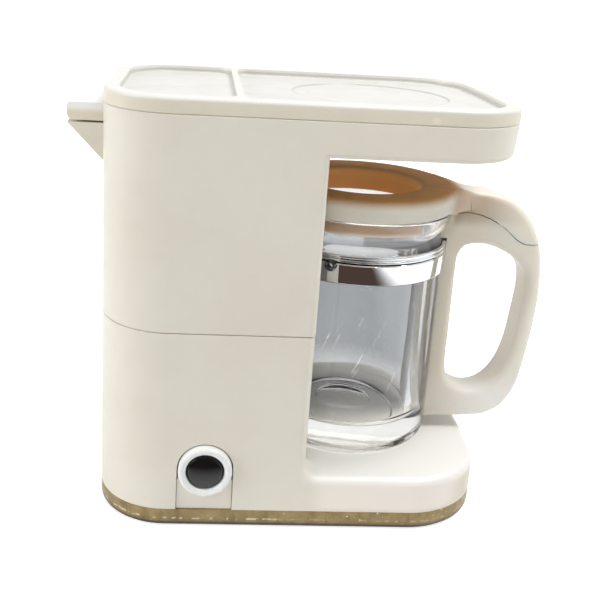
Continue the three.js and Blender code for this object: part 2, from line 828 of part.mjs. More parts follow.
function jug() {
  const inner = jugRadius - jugWall;
  const neckIn = waistRadius - rimWall;
  const profile = [[0, puntDepth], [puntRadius, puntDepth], [puntRadius + puntDepth, 0], ...jugOutside(0)];
  for (let i = outlineSteps; i >= 1; i--) {
    const share = i / outlineSteps;
    const rise = (neckHeight - neckWaist) * share;
    profile.push([
      neckIn + (rimRadius - waistRadius) * Math.sin((share * Math.PI) / 2),
      bandTop + neckWaist + rise,
    ]);
  }
  profile.push([inner, bandTop], [inner, jugFloor + jugFloorFillet]);
  for (const turn of quarter(edgeSteps).slice(1)) {
    profile.push([
      inner - jugFloorFillet * (1 - Math.cos(turn)),
      jugFloor + jugFloorFillet * (1 - Math.sin(turn)),
    ]);
  }
  profile.push(
    [floorMarkRadius + floorMarkDepth, jugFloor],
    [floorMarkRadius, jugFloor - floorMarkDepth],
    [0, jugFloor - floorMarkDepth],
  );
  return turned(profile, roundSteps);
}

// The chrome band: a plain strip, a groove and a bead along its upper edge.
function chromeBand() {
  const inner = jugRadius + runningGap;
  const beadZ = bandTop - bandBead;
  return turned(
    [
      [inner, bandRise],
      [bandRadius - bandGroove / 2, bandRise],
      [bandRadius, bandRise + bandGroove / 2],
      [bandRadius, beadZ - bandGroove],
      [bandRadius - bandGroove, beadZ],
      [bandRadius, beadZ + bandGroove],
      [bandRadius, bandTop - bandGroove],
      [bandRadius - bandGroove, bandTop],
      [inner, bandTop],
    ],
    roundSteps,
  );
}

// A small tubular eyelet that closes the band on the near side.
function bandEyelet() {
  const foot = bandRadius + runningGap;
  const eyelet = turned(
    [
      [eyeletBore, foot],
      [eyeletRadius, foot],
      [eyeletRadius, foot + eyeletHeight / 2],
      [eyeletRadius - eyeletHeight / 2, foot + eyeletHeight],
      [eyeletBore, foot + eyeletHeight],
    ],
    smallSteps,
  );
  return eyelet
    .rotate([0, 90, 0])
    .rotate([0, 0, eyeletAngleDegrees])
    .translate([0, 0, bandTop - bandBead - bandGroove - eyeletRadius / 2]);
}

// The handle from the side: its outer outline and the finger hole, paired point by point,
// as shares of the handle's reach from the jug and of its height.
const loopShares = [
  { outer: [-0.312, 0.005], inner: [0.217, 0.172] },
  { outer: [0.102, 0.005], inner: [0.293, 0.149] },
  { outer: [0.408, 0.007], inner: [0.408, 0.132] },
  { outer: [0.611, 0.018], inner: [0.541, 0.141] },
  { outer: [0.777, 0.06], inner: [0.65, 0.175] },
  { outer: [0.896, 0.148], inner: [0.739, 0.237] },
  { outer: [0.955, 0.285], inner: [0.796, 0.325] },
  { outer: [0.994, 0.446], inner: [0.828, 0.446] },
  { outer: [0.997, 0.608], inner: [0.844, 0.597] },
  { outer: [0.968, 0.712], inner: [0.809, 0.664] },
  { outer: [0.911, 0.796], inner: [0.72, 0.707] },
  { outer: [0.796, 0.884], inner: [0.599, 0.739] },
  { outer: [0.618, 0.95], inner: [0.459, 0.761] },
  { outer: [0.401, 0.978], inner: [0.318, 0.767] },
  { outer: [0.204, 0.984], inner: [0.204, 0.753] },
  { outer: [0, 1], inner: [0.154, 0.715] },
  { outer: [-0.312, 1], inner: [0.15, 0.664] },
  { outer: [-0.312, 0.646], inner: [0.155, 0.575] },
  { outer: [-0.312, 0.395], inner: [0.161, 0.395] },
  { outer: [-0.312, 0.18], inner: [0.172, 0.234] },
];
const seatShares = [
  [-0.522, 0.89],
  [0.076, 0.892],
  [0.204, 0.897],
  [0.382, 0.879],
  [0.548, 0.841],
  [0.688, 0.793],
  [0.739, 0.78],
];
const seatStepShares = [[0.777, 0.774], [1.25, 0.772]];

// The tongue leaves the lid level with its top, so the height of the handle follows from the lid.
const handleHeight = jugRim + carafeLidHeight - handleLift;
const handleRounding = handleReach * handleRoundingShare;

const onHandle = ([reachShare, heightShare]) =>
  new THREE.Vector3(jugRadius + handleReach * reachShare, 0, handleLift + handleHeight * heightShare);

// One section of the handle between its two outlines: flat sides and rounded corners.
function handleSection(inner, outer, halfWidth) {
  const away = outer.clone().sub(inner);
  const length = away.length();
  away.normalize();
  const corners = [
    [handleRounding, -1, Math.PI],
    [length - handleRounding, -1, Math.PI * 1.5],
    [length - handleRounding, 1, 0],
    [handleRounding, 1, Math.PI / 2],
  ];
  return corners.flatMap(([at, side, from]) =>
    quarter(edgeSteps).map((turn) => {
      const along = at + handleRounding * Math.cos(from + turn);
      const aside = side * (halfWidth - handleRounding) + handleRounding * Math.sin(from + turn);
      return [inner.x + away.x * along, aside, inner.z + away.z * along];
    }),
  );
}

// The whole loop with the tongue of the lid still on it; halfWidthAt gives the half width at an x.
function handleLoop(halfWidthAt) {
  const closedCurve = (points) => new THREE.CatmullRomCurve3(points, true, "centripetal");
  const outer = closedCurve(loopShares.map((pair) => onHandle(pair.outer)));
  const inner = closedCurve(loopShares.map((pair) => onHandle(pair.inner)));
  const count = loopShares.length * loopStepsPerPair;
  const rings = Array.from({ length: count }, (_, i) => {
    const at = outer.getPoint(i / count);
    return handleSection(inner.getPoint(i / count), at, halfWidthAt(at));
  });
  return skin(rings, true);
}

// Everything above the seat where the tongue of the lid rests on the handle.
function aboveSeat(gap) {
  const shape = new THREE.Shape();
  const line = new THREE.CatmullRomCurve3(seatShares.map(onHandle), false, "centripetal");
  const points = [...line.getPoints(seatShares.length * outlineSteps), ...seatStepShares.map(onHandle)];
  const sky = jugRim + carafeLidHeight + overrun;
  shape.moveTo(points[0].x, sky);
  for (const { x, z } of points) shape.lineTo(x, z + gap);
  shape.lineTo(points[points.length - 1].x, sky);
  return across(shape, -jugRadius - overrun, jugRadius + overrun, outlineSteps);
}

function handle() {
  const room = turned([[0, -overrun], ...jugOutside(partingGap), [0, jugRim]], roundSteps);
  const heelRoom = cylinder(jugRadius + jugFlare + partingGap, -overrun, jugHeel, roundSteps);
  const [bandFloor, bandCeiling] = [bandRise - partingGap, bandTop + partingGap];
  const bandRoom = cylinder(bandRadius + partingGap, bandFloor, bandCeiling, roundSteps);
  const rimRoom = cylinder(rimRadius + partingGap, jugRim - fitGap, jugRim + overrun, roundSteps);
  return cut(handleLoop(() => handleWidth / 2), [aboveSeat(0), room, heelRoom, bandRoom, rimRoom]);
}

// Where the fillets beside the tongue leave the ring of the lid, and the centre of their curve.
function tongueRoot() {
  const radius = rimRadius - carafeLidSetback;
  const filletY = handleWidth / 2 + tongueBlend;
  const filletX = Math.sqrt((radius + tongueBlend) ** 2 - filletY ** 2);
  return { x: (filletX * radius) / (radius + tongueBlend), filletX, filletY };
}

// The tongue flares into the ring of the lid with a fillet on each side.
function tongueHalfWidth({ x }) {
  const { x: rootX, filletX, filletY } = tongueRoot();
  const beforeX = Math.min(filletX - x, filletX - rootX);
  return x < filletX ? filletY - Math.sqrt(tongueBlend ** 2 - beforeX ** 2) : handleWidth / 2;
}

// The lid of the carafe: a ring with a pour hole, a plug in the neck and a tongue along the handle.
function carafeLid() {
  const radius = rimRadius - carafeLidSetback;
  const top = jugRim + carafeLidHeight;
  const edge = quarter(edgeSteps).map((turn) => [
    radius - carafeLidRounding * (1 - Math.cos(turn)),
    top - carafeLidRounding * (1 - Math.sin(turn)),
  ]);
  const disc = turned([[0, jugRim], [radius, jugRim], ...edge, [0, top]], roundSteps);
  const rimRoom = cylinder(rimRadius + fitGap, -overrun, jugRim, roundSteps);
  const front = tongueRoot().x;
  const ahead = box(front, jugRadius + handleReach + overrun, -jugRadius, jugRadius, -overrun, top);
  const flares = sides.map(([, sign]) => {
    const [y0, y1] = [(sign * handleWidth) / 2, sign * jugRadius].sort((a, b) => a - b);
    return box(front - overrun, jugRadius + handleReach, y0, y1, -overrun, jugRim);
  });
  const loop = handleLoop(tongueHalfWidth).intersect(aboveSeat(partingGap)).intersect(ahead);
  const tongue = cut(loop, [rimRoom, ...flares]);
  const plugRadius = rimRadius - rimWall - fitGap;
  const plateZ = top - carafeLidPlate;
  const mouth = quarter(edgeSteps).map((turn) => [
    pourHoleRadius + pourHoleRounding * (1 - Math.cos(turn)),
    top - pourHoleRounding * (1 - Math.sin(turn)),
  ]);
  const room = turned(
    [
      [0, jugRim - overrun],
      [plugRadius + plugGroove, jugRim - overrun],
      [plugRadius + plugGroove, plateZ],
      [pourHoleRadius, plateZ],
      ...mouth,
      [pourHoleRadius + pourHoleRounding, top + overrun],
      [0, top + overrun],
    ],
    roundSteps,
  );
  const plug = turned(
    [
      [plugRadius - plugWall, jugRim - plugDepth],
      [plugRadius - plugWall / 2, jugRim - plugDepth],
      [plugRadius, jugRim - plugDepth / 2],
      [plugRadius, plateZ + carafeLidPlate / 2],
      [plugRadius - plugWall, plateZ + carafeLidPlate / 2],
    ],
    roundSteps,
  );
  return joined([disc.add(tongue).subtract(room), plug]);
}

function housingGroup() {
  const group = new THREE.Group();
  group.add(
    piece("upper_housing", upperHousing(), cream),
    piece("lower_housing", lowerHousing(), cream),
    piece("base_pan", basePan(), gold),
    piece("filter_basket", atBrewAxis(filterBasket()), ivory),
    piece("switch_bezel", switchBezel(), white),
    piece("slot_filler", slotFiller(), cream),
    piece("button_guide", buttonGuide(), white),
    piece("button_spring", buttonSpring(), steel),
    piece("button_cap", buttonCap(), black),
    piece("top_lid", topLid(), ivory),
    piece("hinge_pin", hingePin(), steel),
  );
  for (const at of baseBosses) {
    const fastener = piece("base_screw_" + at.name, screw(), steel);
    fastener.position.set(at.x, at.y, screwSink);
    group.add(fastener);
  }
  for (const at of towerBosses) {
    const fastener = piece("tower_screw_" + at.name, screw(), steel);
    fastener.position.set(at.x, at.y, seamZ - towerLugHeight - screwHeadHeight);
    group.add(fastener);
  }
  return group;
}

function carafeGroup() {
  const group = new THREE.Group();
  group.add(
    piece("jug", jug(), clear),
    piece("chrome_band", chromeBand(), chrome),
    piece("band_eyelet", bandEyelet(), chrome),
    piece("handle", handle(), cream),
    piece("carafe_lid", carafeLid(), cream),
  );
  group.position.set(brewX, 0, deckZ);
  return group;
}

const coffeeMaker = new THREE.Group();
coffeeMaker.add(housingGroup(), carafeGroup());
const middle = new THREE.Box3().setFromObject(coffeeMaker).getCenter(new THREE.Vector3());
coffeeMaker.position.set(-middle.x, -middle.y, 0);

export default coffeeMaker;
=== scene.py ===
import math
import bmesh
import bpy
from mathutils import Matrix, Vector


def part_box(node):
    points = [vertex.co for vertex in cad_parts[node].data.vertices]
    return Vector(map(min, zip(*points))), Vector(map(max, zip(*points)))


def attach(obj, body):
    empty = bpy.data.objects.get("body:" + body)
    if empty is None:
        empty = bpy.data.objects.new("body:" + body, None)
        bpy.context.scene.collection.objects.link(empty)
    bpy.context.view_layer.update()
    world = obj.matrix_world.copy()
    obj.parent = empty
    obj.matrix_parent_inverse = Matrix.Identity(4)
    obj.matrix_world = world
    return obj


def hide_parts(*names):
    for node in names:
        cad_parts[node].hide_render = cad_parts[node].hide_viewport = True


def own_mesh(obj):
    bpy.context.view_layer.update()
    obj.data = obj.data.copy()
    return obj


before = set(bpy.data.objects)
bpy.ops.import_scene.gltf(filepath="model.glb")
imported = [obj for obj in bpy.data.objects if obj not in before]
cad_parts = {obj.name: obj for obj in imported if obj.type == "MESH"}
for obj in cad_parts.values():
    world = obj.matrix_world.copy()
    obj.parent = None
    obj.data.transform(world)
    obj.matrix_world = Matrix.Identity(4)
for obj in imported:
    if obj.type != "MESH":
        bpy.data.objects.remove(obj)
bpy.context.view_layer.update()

# The maker's own millimetres: x runs from the tower's rear wall to the front, y from the mid plane,
# z from the table. Everything below is shaped in them and set down in the frame at the end.
PAN_LOW, PAN_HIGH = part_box("base_pan")
HOME = Vector((PAN_LOW.x, (PAN_LOW.y + PAN_HIGH.y) / 2, 0.0))
MM = 0.001


def place(x, y, z):
    return HOME + Vector((x, y, z)) * MM


# ---------------------------------------------------------------- camera

CAMERA_AT = (12.80, -126.43, 75.22)
CAMERA_AZIMUTH, CAMERA_ELEVATION, CAMERA_ROLL = -4.116, 17.229, 3.352
LENS_MM, SENSOR_MM = 53.53, 36
SHIFT_X, SHIFT_Y = 0.0695, -0.0903


def add_camera():
    az, el, roll = (math.radians(d) for d in (CAMERA_AZIMUTH, CAMERA_ELEVATION, CAMERA_ROLL))
    back = Vector((math.sin(az) * math.cos(el), -math.cos(az) * math.cos(el), math.sin(el)))
    level = Vector((math.cos(az), math.sin(az), 0))
    rise = back.cross(level)
    right = level * math.cos(roll) + rise * math.sin(roll)
    up = rise * math.cos(roll) - level * math.sin(roll)
    data = bpy.data.cameras.new("camera")
    camera = bpy.data.objects.new("camera", data)
    bpy.context.scene.collection.objects.link(camera)
    turn = Matrix((right, up, back)).transposed().to_4x4()
    camera.matrix_world = Matrix.Translation(place(*CAMERA_AT)) @ turn
    data.sensor_width = SENSOR_MM
    data.lens = LENS_MM
    data.shift_x = SHIFT_X
    data.shift_y = SHIFT_Y
    data.clip_start = 0.01
    data.clip_end = 20
    bpy.context.scene.camera = camera


add_camera()


# ---------------------------------------------------------------- sizes, in the maker's millimetres

HALF = 18.35                        # half the width
TOWER, HEAD, BASE = 28.95, 55.15, 55.6          # how far each reaches to the front
SKIRT, DECK, SEAM, SOFFIT, LID_SEAM, RIM = 2.8, 8.0, 29.15, 53.2, 57.9, 60.0    # heights
BOW, DRAFT = 0.9, 0.3
REAR_CORNER, HEAD_CORNER, BASE_CORNER = 9.5, 8.5, 10.5
SEAM_GAP, LID_GAP = 0.015, 0.02     # each shell stops this far from its seam
SEAM_EDGE, MOUTH_EDGE, DECK_EDGE, LID_EDGE, PAN_EDGE = 0.2, 0.75, 1.1, 0.5, 0.9      # roundings
CLEAR_OF_FACE = 0.02                # the niche stays off the deck and into the soffit by this much
OVERRUN = 2.0                       # how far a cutter stands out of what it cuts
BREW = 36.55                        # x of the carafe's axis
JUG_RADIUS, JUG_RIM, NECK_FLARE = 12.5, DECK + 35.5, 1.9
BAND_LOW = DECK + 26.7
NICHE = 15.4
HANDLE_HALF = 2.8
SWITCH_X, SWITCH_Z, SWITCH_PROUD = 15.05, 9.1, 1.1
HINGE_X, HINGE_Z, BARREL = -4.35, 55.45, 0.9
LUG_END, LUG_LOW, LUG_HIGH, LUG_ROOT, LUG_HALF = -5.25, 54.55, 56.95, 1.2, 6.0
LUG_GAP = 0.3                       # between the lid's lug and the bracket below it
KNUCKLE_HALF = 2.0


# ---------------------------------------------------------------- shader wiring

class Wire:
    """A socket, a colour or a number of one material, with arithmetic that adds nodes."""

    def __init__(self, tree, value):
        self.tree, self.value = tree, value

    def plug(self, socket, value):
        value = value.value if isinstance(value, Wire) else value
        if isinstance(value, bpy.types.NodeSocket):
            self.tree.links.new(value, socket)
        else:
            socket.default_value = value

    def node(self, kind, settings=None, sockets=None, out=0):
        made = self.tree.nodes.new(kind)
        for name, setting in (settings or {}).items():
            setattr(made, name, setting)
        for name, value in (sockets or {}).items():
            self.plug(made.inputs[name], value)
        return Wire(self.tree, made.outputs[out])

    def _math(self, how, b, first=None):
        return self.node("ShaderNodeMath", {"operation": how}, {0: self if first is None else first, 1: b})

    def __add__(self, other):
        return self._math("ADD", other)

    __radd__ = __add__

    def __sub__(self, other):
        return self._math("SUBTRACT", other)

    def __rsub__(self, other):
        return self._math("SUBTRACT", self, other)

    def __mul__(self, other):
        return self._math("MULTIPLY", other)

    __rmul__ = __mul__

    def __pow__(self, other):
        return self._math("POWER", other)

    def at_least(self, other):
        return self._math("MAXIMUM", other)

    def at_most(self, other):
        return self._math("MINIMUM", other)

    def between(self, low, high):
        """0 below low, 1 above high, smooth between them."""
        return self.node(
            "ShaderNodeMapRange",
            {"interpolation_type": "SMOOTHSTEP"},
            {"Value": self, "From Min": low, "From Max": high},
        )

    def below(self, low, high):
        """1 below low, 0 above high."""
        return 1 - self.between(low, high)

    def within(self, rise, full, fade, end):
        """0 up to rise, 1 from full to fade, 0 from end on."""
        return self.between(rise, full) * self.below(fade, end)


class Finish:
    """One material: a Principled surface whose pattern is laid out in the maker's millimetres."""

    def __init__(self, name, colour, roughness, **constants):
        self.material = bpy.data.materials.new(name)
        self.material.use_nodes = True
        tree = self.material.node_tree
        self.surface = tree.nodes["Principled BSDF"]
        self.hand = Wire(tree, 0)
        self.surface.inputs["Base Color"].default_value = (*colour, 1)
        self.surface.inputs["Roughness"].default_value = roughness
        for socket, value in constants.items():
            self.surface.inputs[socket.replace("_", " ")].default_value = value
        self.place = self.hand.node("ShaderNodeTexCoord", out=3)

    def noise(self, size_mm, detail=3, rough=0.5, at=None, squeeze=None):
        """Mottling about size_mm across; a squeeze below 1 draws it out along that axis."""
        where = self.place if at is None else at
        if squeeze is not None:
            where = self.hand.node(
                "ShaderNodeVectorMath", {"operation": "MULTIPLY"}, {0: where, 1: squeeze}
            )
        return self.hand.node(
            "ShaderNodeTexNoise",
            sockets={"Vector": where, "Scale": 1000 / size_mm, "Detail": detail, "Roughness": rough},
        )

    def along(self, axis):
        """The maker's x, y or z of the point that is shaded, in millimetres."""
        part = self.hand.node("ShaderNodeSeparateXYZ", sockets={0: self.place}, out=axis)
        return part * 1000 - (HOME * 1000)[axis]

    def away_from(self, **spot):
        """Distance in millimetres from a point, or from a line where a coordinate is left out."""
        squares = [(self.along("xyz".index(k)) - v) ** 2 for k, v in spot.items()]
        return sum(squares[1:], squares[0]) ** 0.5

    def blend(self, mask, a, b):
        """a where the mask is 0, b where it is 1."""
        a = (*a, 1) if isinstance(a, tuple) and len(a) == 3 else a
        b = (*b, 1) if isinstance(b, tuple) and len(b) == 3 else b
        return self.hand.node("ShaderNodeMix", {"data_type": "RGBA"}, {0: mask, 6: a, 7: b}, out=2)

    def wear(self, socket, value):
        """Lets a value or a pattern drive one socket of the surface."""
        self.hand.plug(self.surface.inputs[socket], value)

    def bump(self, height, depth_mm, strength=1.0):
        made = self.hand.node(
            "ShaderNodeBump", sockets={"Strength": strength, "Distance": depth_mm * MM, "Height": height}
        )
        self.wear("Normal", made)

    def glow(self, mask, colour):
        self.surface.inputs["Emission Strength"].default_value = 1
        self.wear("Emission Color", self.blend(mask, BLACK, colour))

    def ray(self, kind):
        """1 for rays of one kind, such as Is Camera Ray."""
        path = self.hand.node("ShaderNodeLightPath").value.node
        return Wire(self.hand.tree, path.outputs[kind])

    def mix_in(self, mask, shader):
        """Another shader takes the surface's place where the mask is 1."""
        mixed = self.hand.node(
            "ShaderNodeMixShader", sockets={0: mask, 1: self.surface.outputs[0], 2: shader}
        )
        output = self.material.node_tree.nodes["Material Output"]
        self.hand.plug(output.inputs["Surface"], mixed)


def srgb(r, g, b):
    """A colour as a paint program writes it, made linear."""
    return tuple(c / 3294.6 if c <= 10 else ((c / 255 + 0.055) / 1.055) ** 2.4 for c in (r, g, b))


PAINT = {name: srgb(*rgb) for name, rgb in {
    "housing": (234, 229, 216), "housing shade": (228, 221, 205), "deck top lit": (246, 245, 241),
    "deck side lit": (251, 244, 235), "deck nose": (212, 205, 186),
    "lid": (232, 225, 207), "lid shade": (225, 216, 194), "lid top_sheen": (224, 223, 218),
    "lid rubbed sheen": (215, 214, 208), "lid rim sheen": (233, 231, 224), "lug": (248, 248, 246),
    "lid line": (176, 174, 165), "stain": (196, 178, 130), "gate mark": (246, 236, 222),
    "carafe": (240, 236, 224), "carafe shade": (231, 225, 209), "lit low arm": (252, 250, 246),
    "grip_shade": (204, 190, 166), "cheek_shade": (166, 134, 98), "ring_tan_shade": (192, 140, 72),
    "deep ring_tan_shade": (174, 120, 54), "hole": (224, 164, 96),
    "gold": (162, 141, 94), "gold shade": (136, 115, 70), "gold patch": (98, 80, 46),
    "gold low": (112, 92, 56), "gold hem shadow": (44, 34, 18), "bare flecks": (226, 214, 184),
    "ring": (243, 244, 243), "ring shade": (236, 238, 238),
    "cap": (14, 14, 15), "cap shade": (22, 22, 23),
    "chrome": (226, 228, 231), "chrome line": (48, 46, 48), "steel": (168, 171, 175),
    "eyelet dark": (60, 60, 66), "eyelet bright": (132, 134, 140),
}.items()}
BLACK = (0, 0, 0)
# Painted shade: the grey is painted on the jug's middle for the darker room seen through it.
JUG_CLEAR, JUG_PAINTED_GREY, JUG_BASE = (0.93, 0.93, 0.925), (0.56, 0.575, 0.585), (0.89, 0.87, 0.84)
# Painted light: faint glows for the jug's neck and for the hole in the carafe's lid.
NECK_GLOW, HOLE_GLOW = (0.13, 0.13, 0.134), (0.08, 0.042, 0.013)
STYRENE_IOR = 1.49


def moulded(name, paint, roughness):
    """Satin moulded plastic: a fine spark-eroded grain, slow colour drift and faint handling marks."""
    made = Finish(name, PAINT[paint], roughness)
    drift = made.noise(16, 2).between(0.35, 0.7)
    cloud = made.noise(3.5, 4, 0.6).between(0.45, 0.75)
    made.tone = made.blend(drift * 0.5 + cloud * 0.25, PAINT[paint], PAINT[paint + " shade"])
    made.wear("Base Color", made.tone)
    handled = made.noise(2.2, 3).between(0.3, 0.75)
    made.wear("Roughness", handled * 0.12 + (roughness - 0.06))
    grain, ripple = made.noise(0.35, 2, 0.6), made.noise(5, 2)
    made.bump(grain * 0.35 + ripple * 0.65, 0.012)
    return made


def housing_plastic():
    """Cream, with painted light on the deck's top and near side and painted shade, darker and yellower, at
    the deck's nose.
    """
    made = moulded("housing_plastic", "housing", 0.4)
    x, y, z = (made.along(axis) for axis in range(3))
    # Painted light: the deck's near side and its top are painted paler, where the lamps light them.
    near_side = x.between(29, 33) * z.within(SKIRT, 3.6, 7, DECK) * y.below(-17, -12)
    # Painted shade: the deck's nose is painted darker and yellower, where less light falls on it.
    nose = x.between(49, 53.5) * z.below(6.2, 7.4)
    top = z.within(6.6, 7.9, 8.6, 10) * x.between(28, 32)
    paint = made.blend(near_side * 0.75, made.tone, PAINT["deck side lit"])
    paint = made.blend(nose * 0.9, paint, PAINT["deck nose"])
    made.wear("Base Color", made.blend(top * 0.85, paint, PAINT["deck top lit"]))
    return made


def lid_plastic():
    """The top lid: painted sheen makes its recess floors and rim whiter than its creamier side, mottled
    where rubbed; the lug is painted lighter, painted shade draws grey lines at its recess edges and dish,
    and its near side has a stain and one gate mark.
    """
    made = moulded("lid_plastic", "lid", 0.36)
    x, y, z = (made.along(axis) for axis in range(3))
    r = made.away_from(x=BREW, y=0)
    rubbed = made.noise(6, 3).between(0.4, 0.7)
    # Painted sheen: the recess floors and dish are painted whiter and more neutral than the side, mottled
    # where rubbed, and the rim's top is painted paler too.
    top_sheen = made.blend(rubbed * 0.6, PAINT["lid top_sheen"], PAINT["lid rubbed sheen"])
    to_end = (made.away_from(x=HEAD / 2) - 18.2).at_least(0)
    to_side = (made.away_from(y=0) - 9.35).at_least(0)
    in_plan = (to_end ** 2 + to_side ** 2).below(66, 73)
    paint = made.blend(in_plan * z.between(58.1, 58.3), made.tone, top_sheen)
    paint = made.blend(z.between(59.2, 59.8), paint, PAINT["lid rim sheen"])
    # Painted light: the lug is painted near white, where light falls on its top.
    lug = x.below(-0.5, 0.3) * z.between(55.4, 56.4)
    paint = made.blend(lug, paint, PAINT["lug"])
    # Painted shade: grey lines along the recess edges and at the dish's step, and a fainter grey ring
    # inside the dish.
    recess_shade = z.within(59.12, 59.22, 59.5, 59.8) * in_plan
    dish_step_shade = r.within(10.7, 11.0, 11.15, 11.4) * z.within(58.3, 58.6, 59.3, 59.5)
    inner_line = r.within(8.6, 8.8, 8.9, 9.2)
    lines = recess_shade * 0.5 + (dish_step_shade + inner_line * 0.3) * 0.4
    paint = made.blend(lines.at_most(0.8), paint, PAINT["lid line"])
    near_side = y.below(-17.6, -16.8)
    stain = made.away_from(x=41.6, z=LID_SEAM).below(0.1, 0.4) * near_side
    gate = made.away_from(x=41.7, z=58.5).below(0.25, 0.75) * near_side
    paint = made.blend(stain * 0.5, paint, PAINT["stain"])
    made.wear("Base Color", made.blend(gate * 0.55, paint, PAINT["gate mark"]))
    return made


def carafe_plastic():
    """Cream, with painted light on the handle's lower part and painted shade on its side next to the jug
    and where the tongue meets the ring; the ring of the carafe's lid and its plug are painted a brownish
    shade and are duller, and its hole is painted lighter with a painted glow.
    """
    made = moulded("carafe_plastic", "carafe", 0.38)
    for socket, value in (("Weight", 0.35), ("Radius", (1.0, 0.55, 0.3)), ("Scale", 2.5 * MM)):
        made.surface.inputs["Subsurface " + socket].default_value = value
    x, z = made.along(0), made.along(2)
    r = made.away_from(x=BREW, y=0)
    # Painted light: the handle's lower part is painted paler, where light from above falls on it.
    lit_low_arm = x.between(44, 48) * z.below(13, 19)
    # Painted shade: the handle next to the jug and below the lid is painted darker and browner.
    grip_shade = x.below(49, 60) * z.below(41, 43)
    # Painted shade: the tongue's sides where it meets the ring are painted brown.
    cheek_shade = made.away_from(y=0).between(2.3, 2.75) * x.below(52, 62)
    cheek_shade = cheek_shade * z.between(40.5, 42.5) * r.between(13.3, 14.2)
    # Painted shade: the top of the lid's ring and its plug are painted brownish, as they look in the head's
    # shadow.
    on_ring = r.below(13.2, 15.5) * z.between(JUG_RIM + 1.8, JUG_RIM + 3.5)
    plug = z.below(JUG_RIM - 0.3, JUG_RIM + 0.3) * r.below(11.9, 12.3)
    # Painted light: the hole's wall is painted light orange and given a faint glow, for light coming
    # through the plastic.
    hole = r.below(10.6, 10.9) * z.within(JUG_RIM - 1.2, JUG_RIM - 0.9, JUG_RIM + 2.4, JUG_RIM + 3.2)
    paint = made.blend(lit_low_arm * 0.9, made.tone, PAINT["lit low arm"])
    paint = made.blend(grip_shade * 0.5, paint, PAINT["grip_shade"])
    paint = made.blend(cheek_shade * 0.65, paint, PAINT["cheek_shade"])
    ring_tan_shade = made.blend(made.noise(8, 2), PAINT["ring_tan_shade"], PAINT["deep ring_tan_shade"])
    paint = made.blend((on_ring + plug * 0.7).at_most(1.0), paint, ring_tan_shade)
    made.wear("Base Color", made.blend(hole, paint, PAINT["hole"]))
    made.wear("Roughness", made.noise(2, 3).between(0.3, 0.7) * 0.1 + 0.36 + on_ring * 0.36)
    made.glow(hole, HOLE_GLOW)
    return made


def gold_skirt():
    """Gold-brown paint, darker towards the table with a painted contact shadow along its bottom edge, and a
    line of worn pale flecks round it.
    """
    made = Finish("gold_skirt_paint", PAINT["gold"], 0.42, Metallic=0.15)
    x, z = made.along(0), made.along(2)
    cloud = made.noise(2.5, 5, 0.65).between(0.3, 0.7)
    patch = made.noise(1.1, 3, squeeze=(1, 1, 0.35)).between(0.52, 0.68)
    paint = made.blend(cloud, PAINT["gold shade"], PAINT["gold"])
    paint = made.blend(patch * 0.35, paint, PAINT["gold patch"])
    paint = made.blend(z.below(0.7, 1.5) * 0.6, paint, PAINT["gold low"])
    # Painted shadow: the bottom edge is painted near black where it meets the table.
    paint = made.blend(z.below(0.6, 0.95), paint, PAINT["gold hem shadow"])
    line = z.within(1.15, 1.3, 1.4, 1.6)
    dash = made.noise(1.0, 4, 0.6).between(0.5, 0.57) * (0.35 + 0.65 * x.below(22, 30))
    chip = made.noise(0.6, 2).between(0.7, 0.75) * z.between(0.8, 1.0)
    worn = (line * dash + chip).at_most(1.0)
    made.wear("Base Color", made.blend(worn * 0.8, paint, PAINT["bare flecks"]))
    made.wear("Roughness", made.noise(1.1, 3).between(0.3, 0.7) * 0.2 + 0.32)
    made.bump(made.noise(0.5, 3) + line * 0.5, 0.025)
    return made


def clear_plastic():
    """Thick clear styrene: a grey band painted at mid height for the shade seen through it, tilted
    scratches, fine scuffs, and a painted glow at the neck.
    """
    made = Finish("clear_jug_plastic", JUG_PAINTED_GREY, 0.03, Transmission_Weight=1.0, IOR=STYRENE_IOR)
    z = made.along(2)
    tilted = made.hand.node(
        "ShaderNodeMapping", sockets={"Vector": made.place, "Rotation": (0.1, -0.4, 0)}
    )
    scratch = made.noise(0.6, 1, at=tilted, squeeze=(1, 1, 0.04)).between(0.71, 0.74)
    clear = made.blend(z.between(11, 13), JUG_BASE, JUG_CLEAR)
    # Painted shade: the wall between the base and the neck is painted grey, except where the scratches run.
    painted_grey_band = z.within(12, 17, 35, 39.5) * (1 - scratch)
    made.wear("Base Color", made.blend(painted_grey_band, clear, JUG_PAINTED_GREY))
    # Painted light: the neck glows faintly so that it looks lit.
    made.glow(z.within(38.6, 39.6, 41.2, 42.4), NECK_GLOW)
    scuff = made.noise(1.0, 4, 0.65, squeeze=(1, 1, 0.12)).between(0.62, 0.7)
    made.wear("Roughness", scuff * 0.12 + 0.02)
    made.bump(made.noise(7, 2) + scuff * 0.1, 0.03)
    lamp_ray = made.ray("Is Shadow Ray")
    through = made.hand.node("ShaderNodeBsdfTransparent", sockets={"Color": (0.96, 0.96, 0.96, 1)})
    made.mix_in(lamp_ray, through)
    return made


def chrome_plate():
    """Bright plating with painted shade as a dark line in its groove and along its lower hem."""
    made = Finish("chrome_plating", PAINT["chrome"], 0.06, Metallic=1.0)
    made.wear("Roughness", made.noise(1.2, 4, 0.65).between(0.5, 0.8) * 0.12 + 0.04)
    z = made.along(2) + made.noise(1.5, 2) * 0.2
    groove = z.within(BAND_LOW + 3.02, BAND_LOW + 3.1, BAND_LOW + 3.25, BAND_LOW + 3.35)
    hem = z.below(BAND_LOW + 0.15, BAND_LOW + 0.3)
    # Painted shade: the groove and the lower hem are painted dark.
    dark = (groove + hem * 0.8).at_most(1.0)
    made.wear("Base Color", made.blend(dark, PAINT["chrome"], PAINT["chrome line"]))
    return made


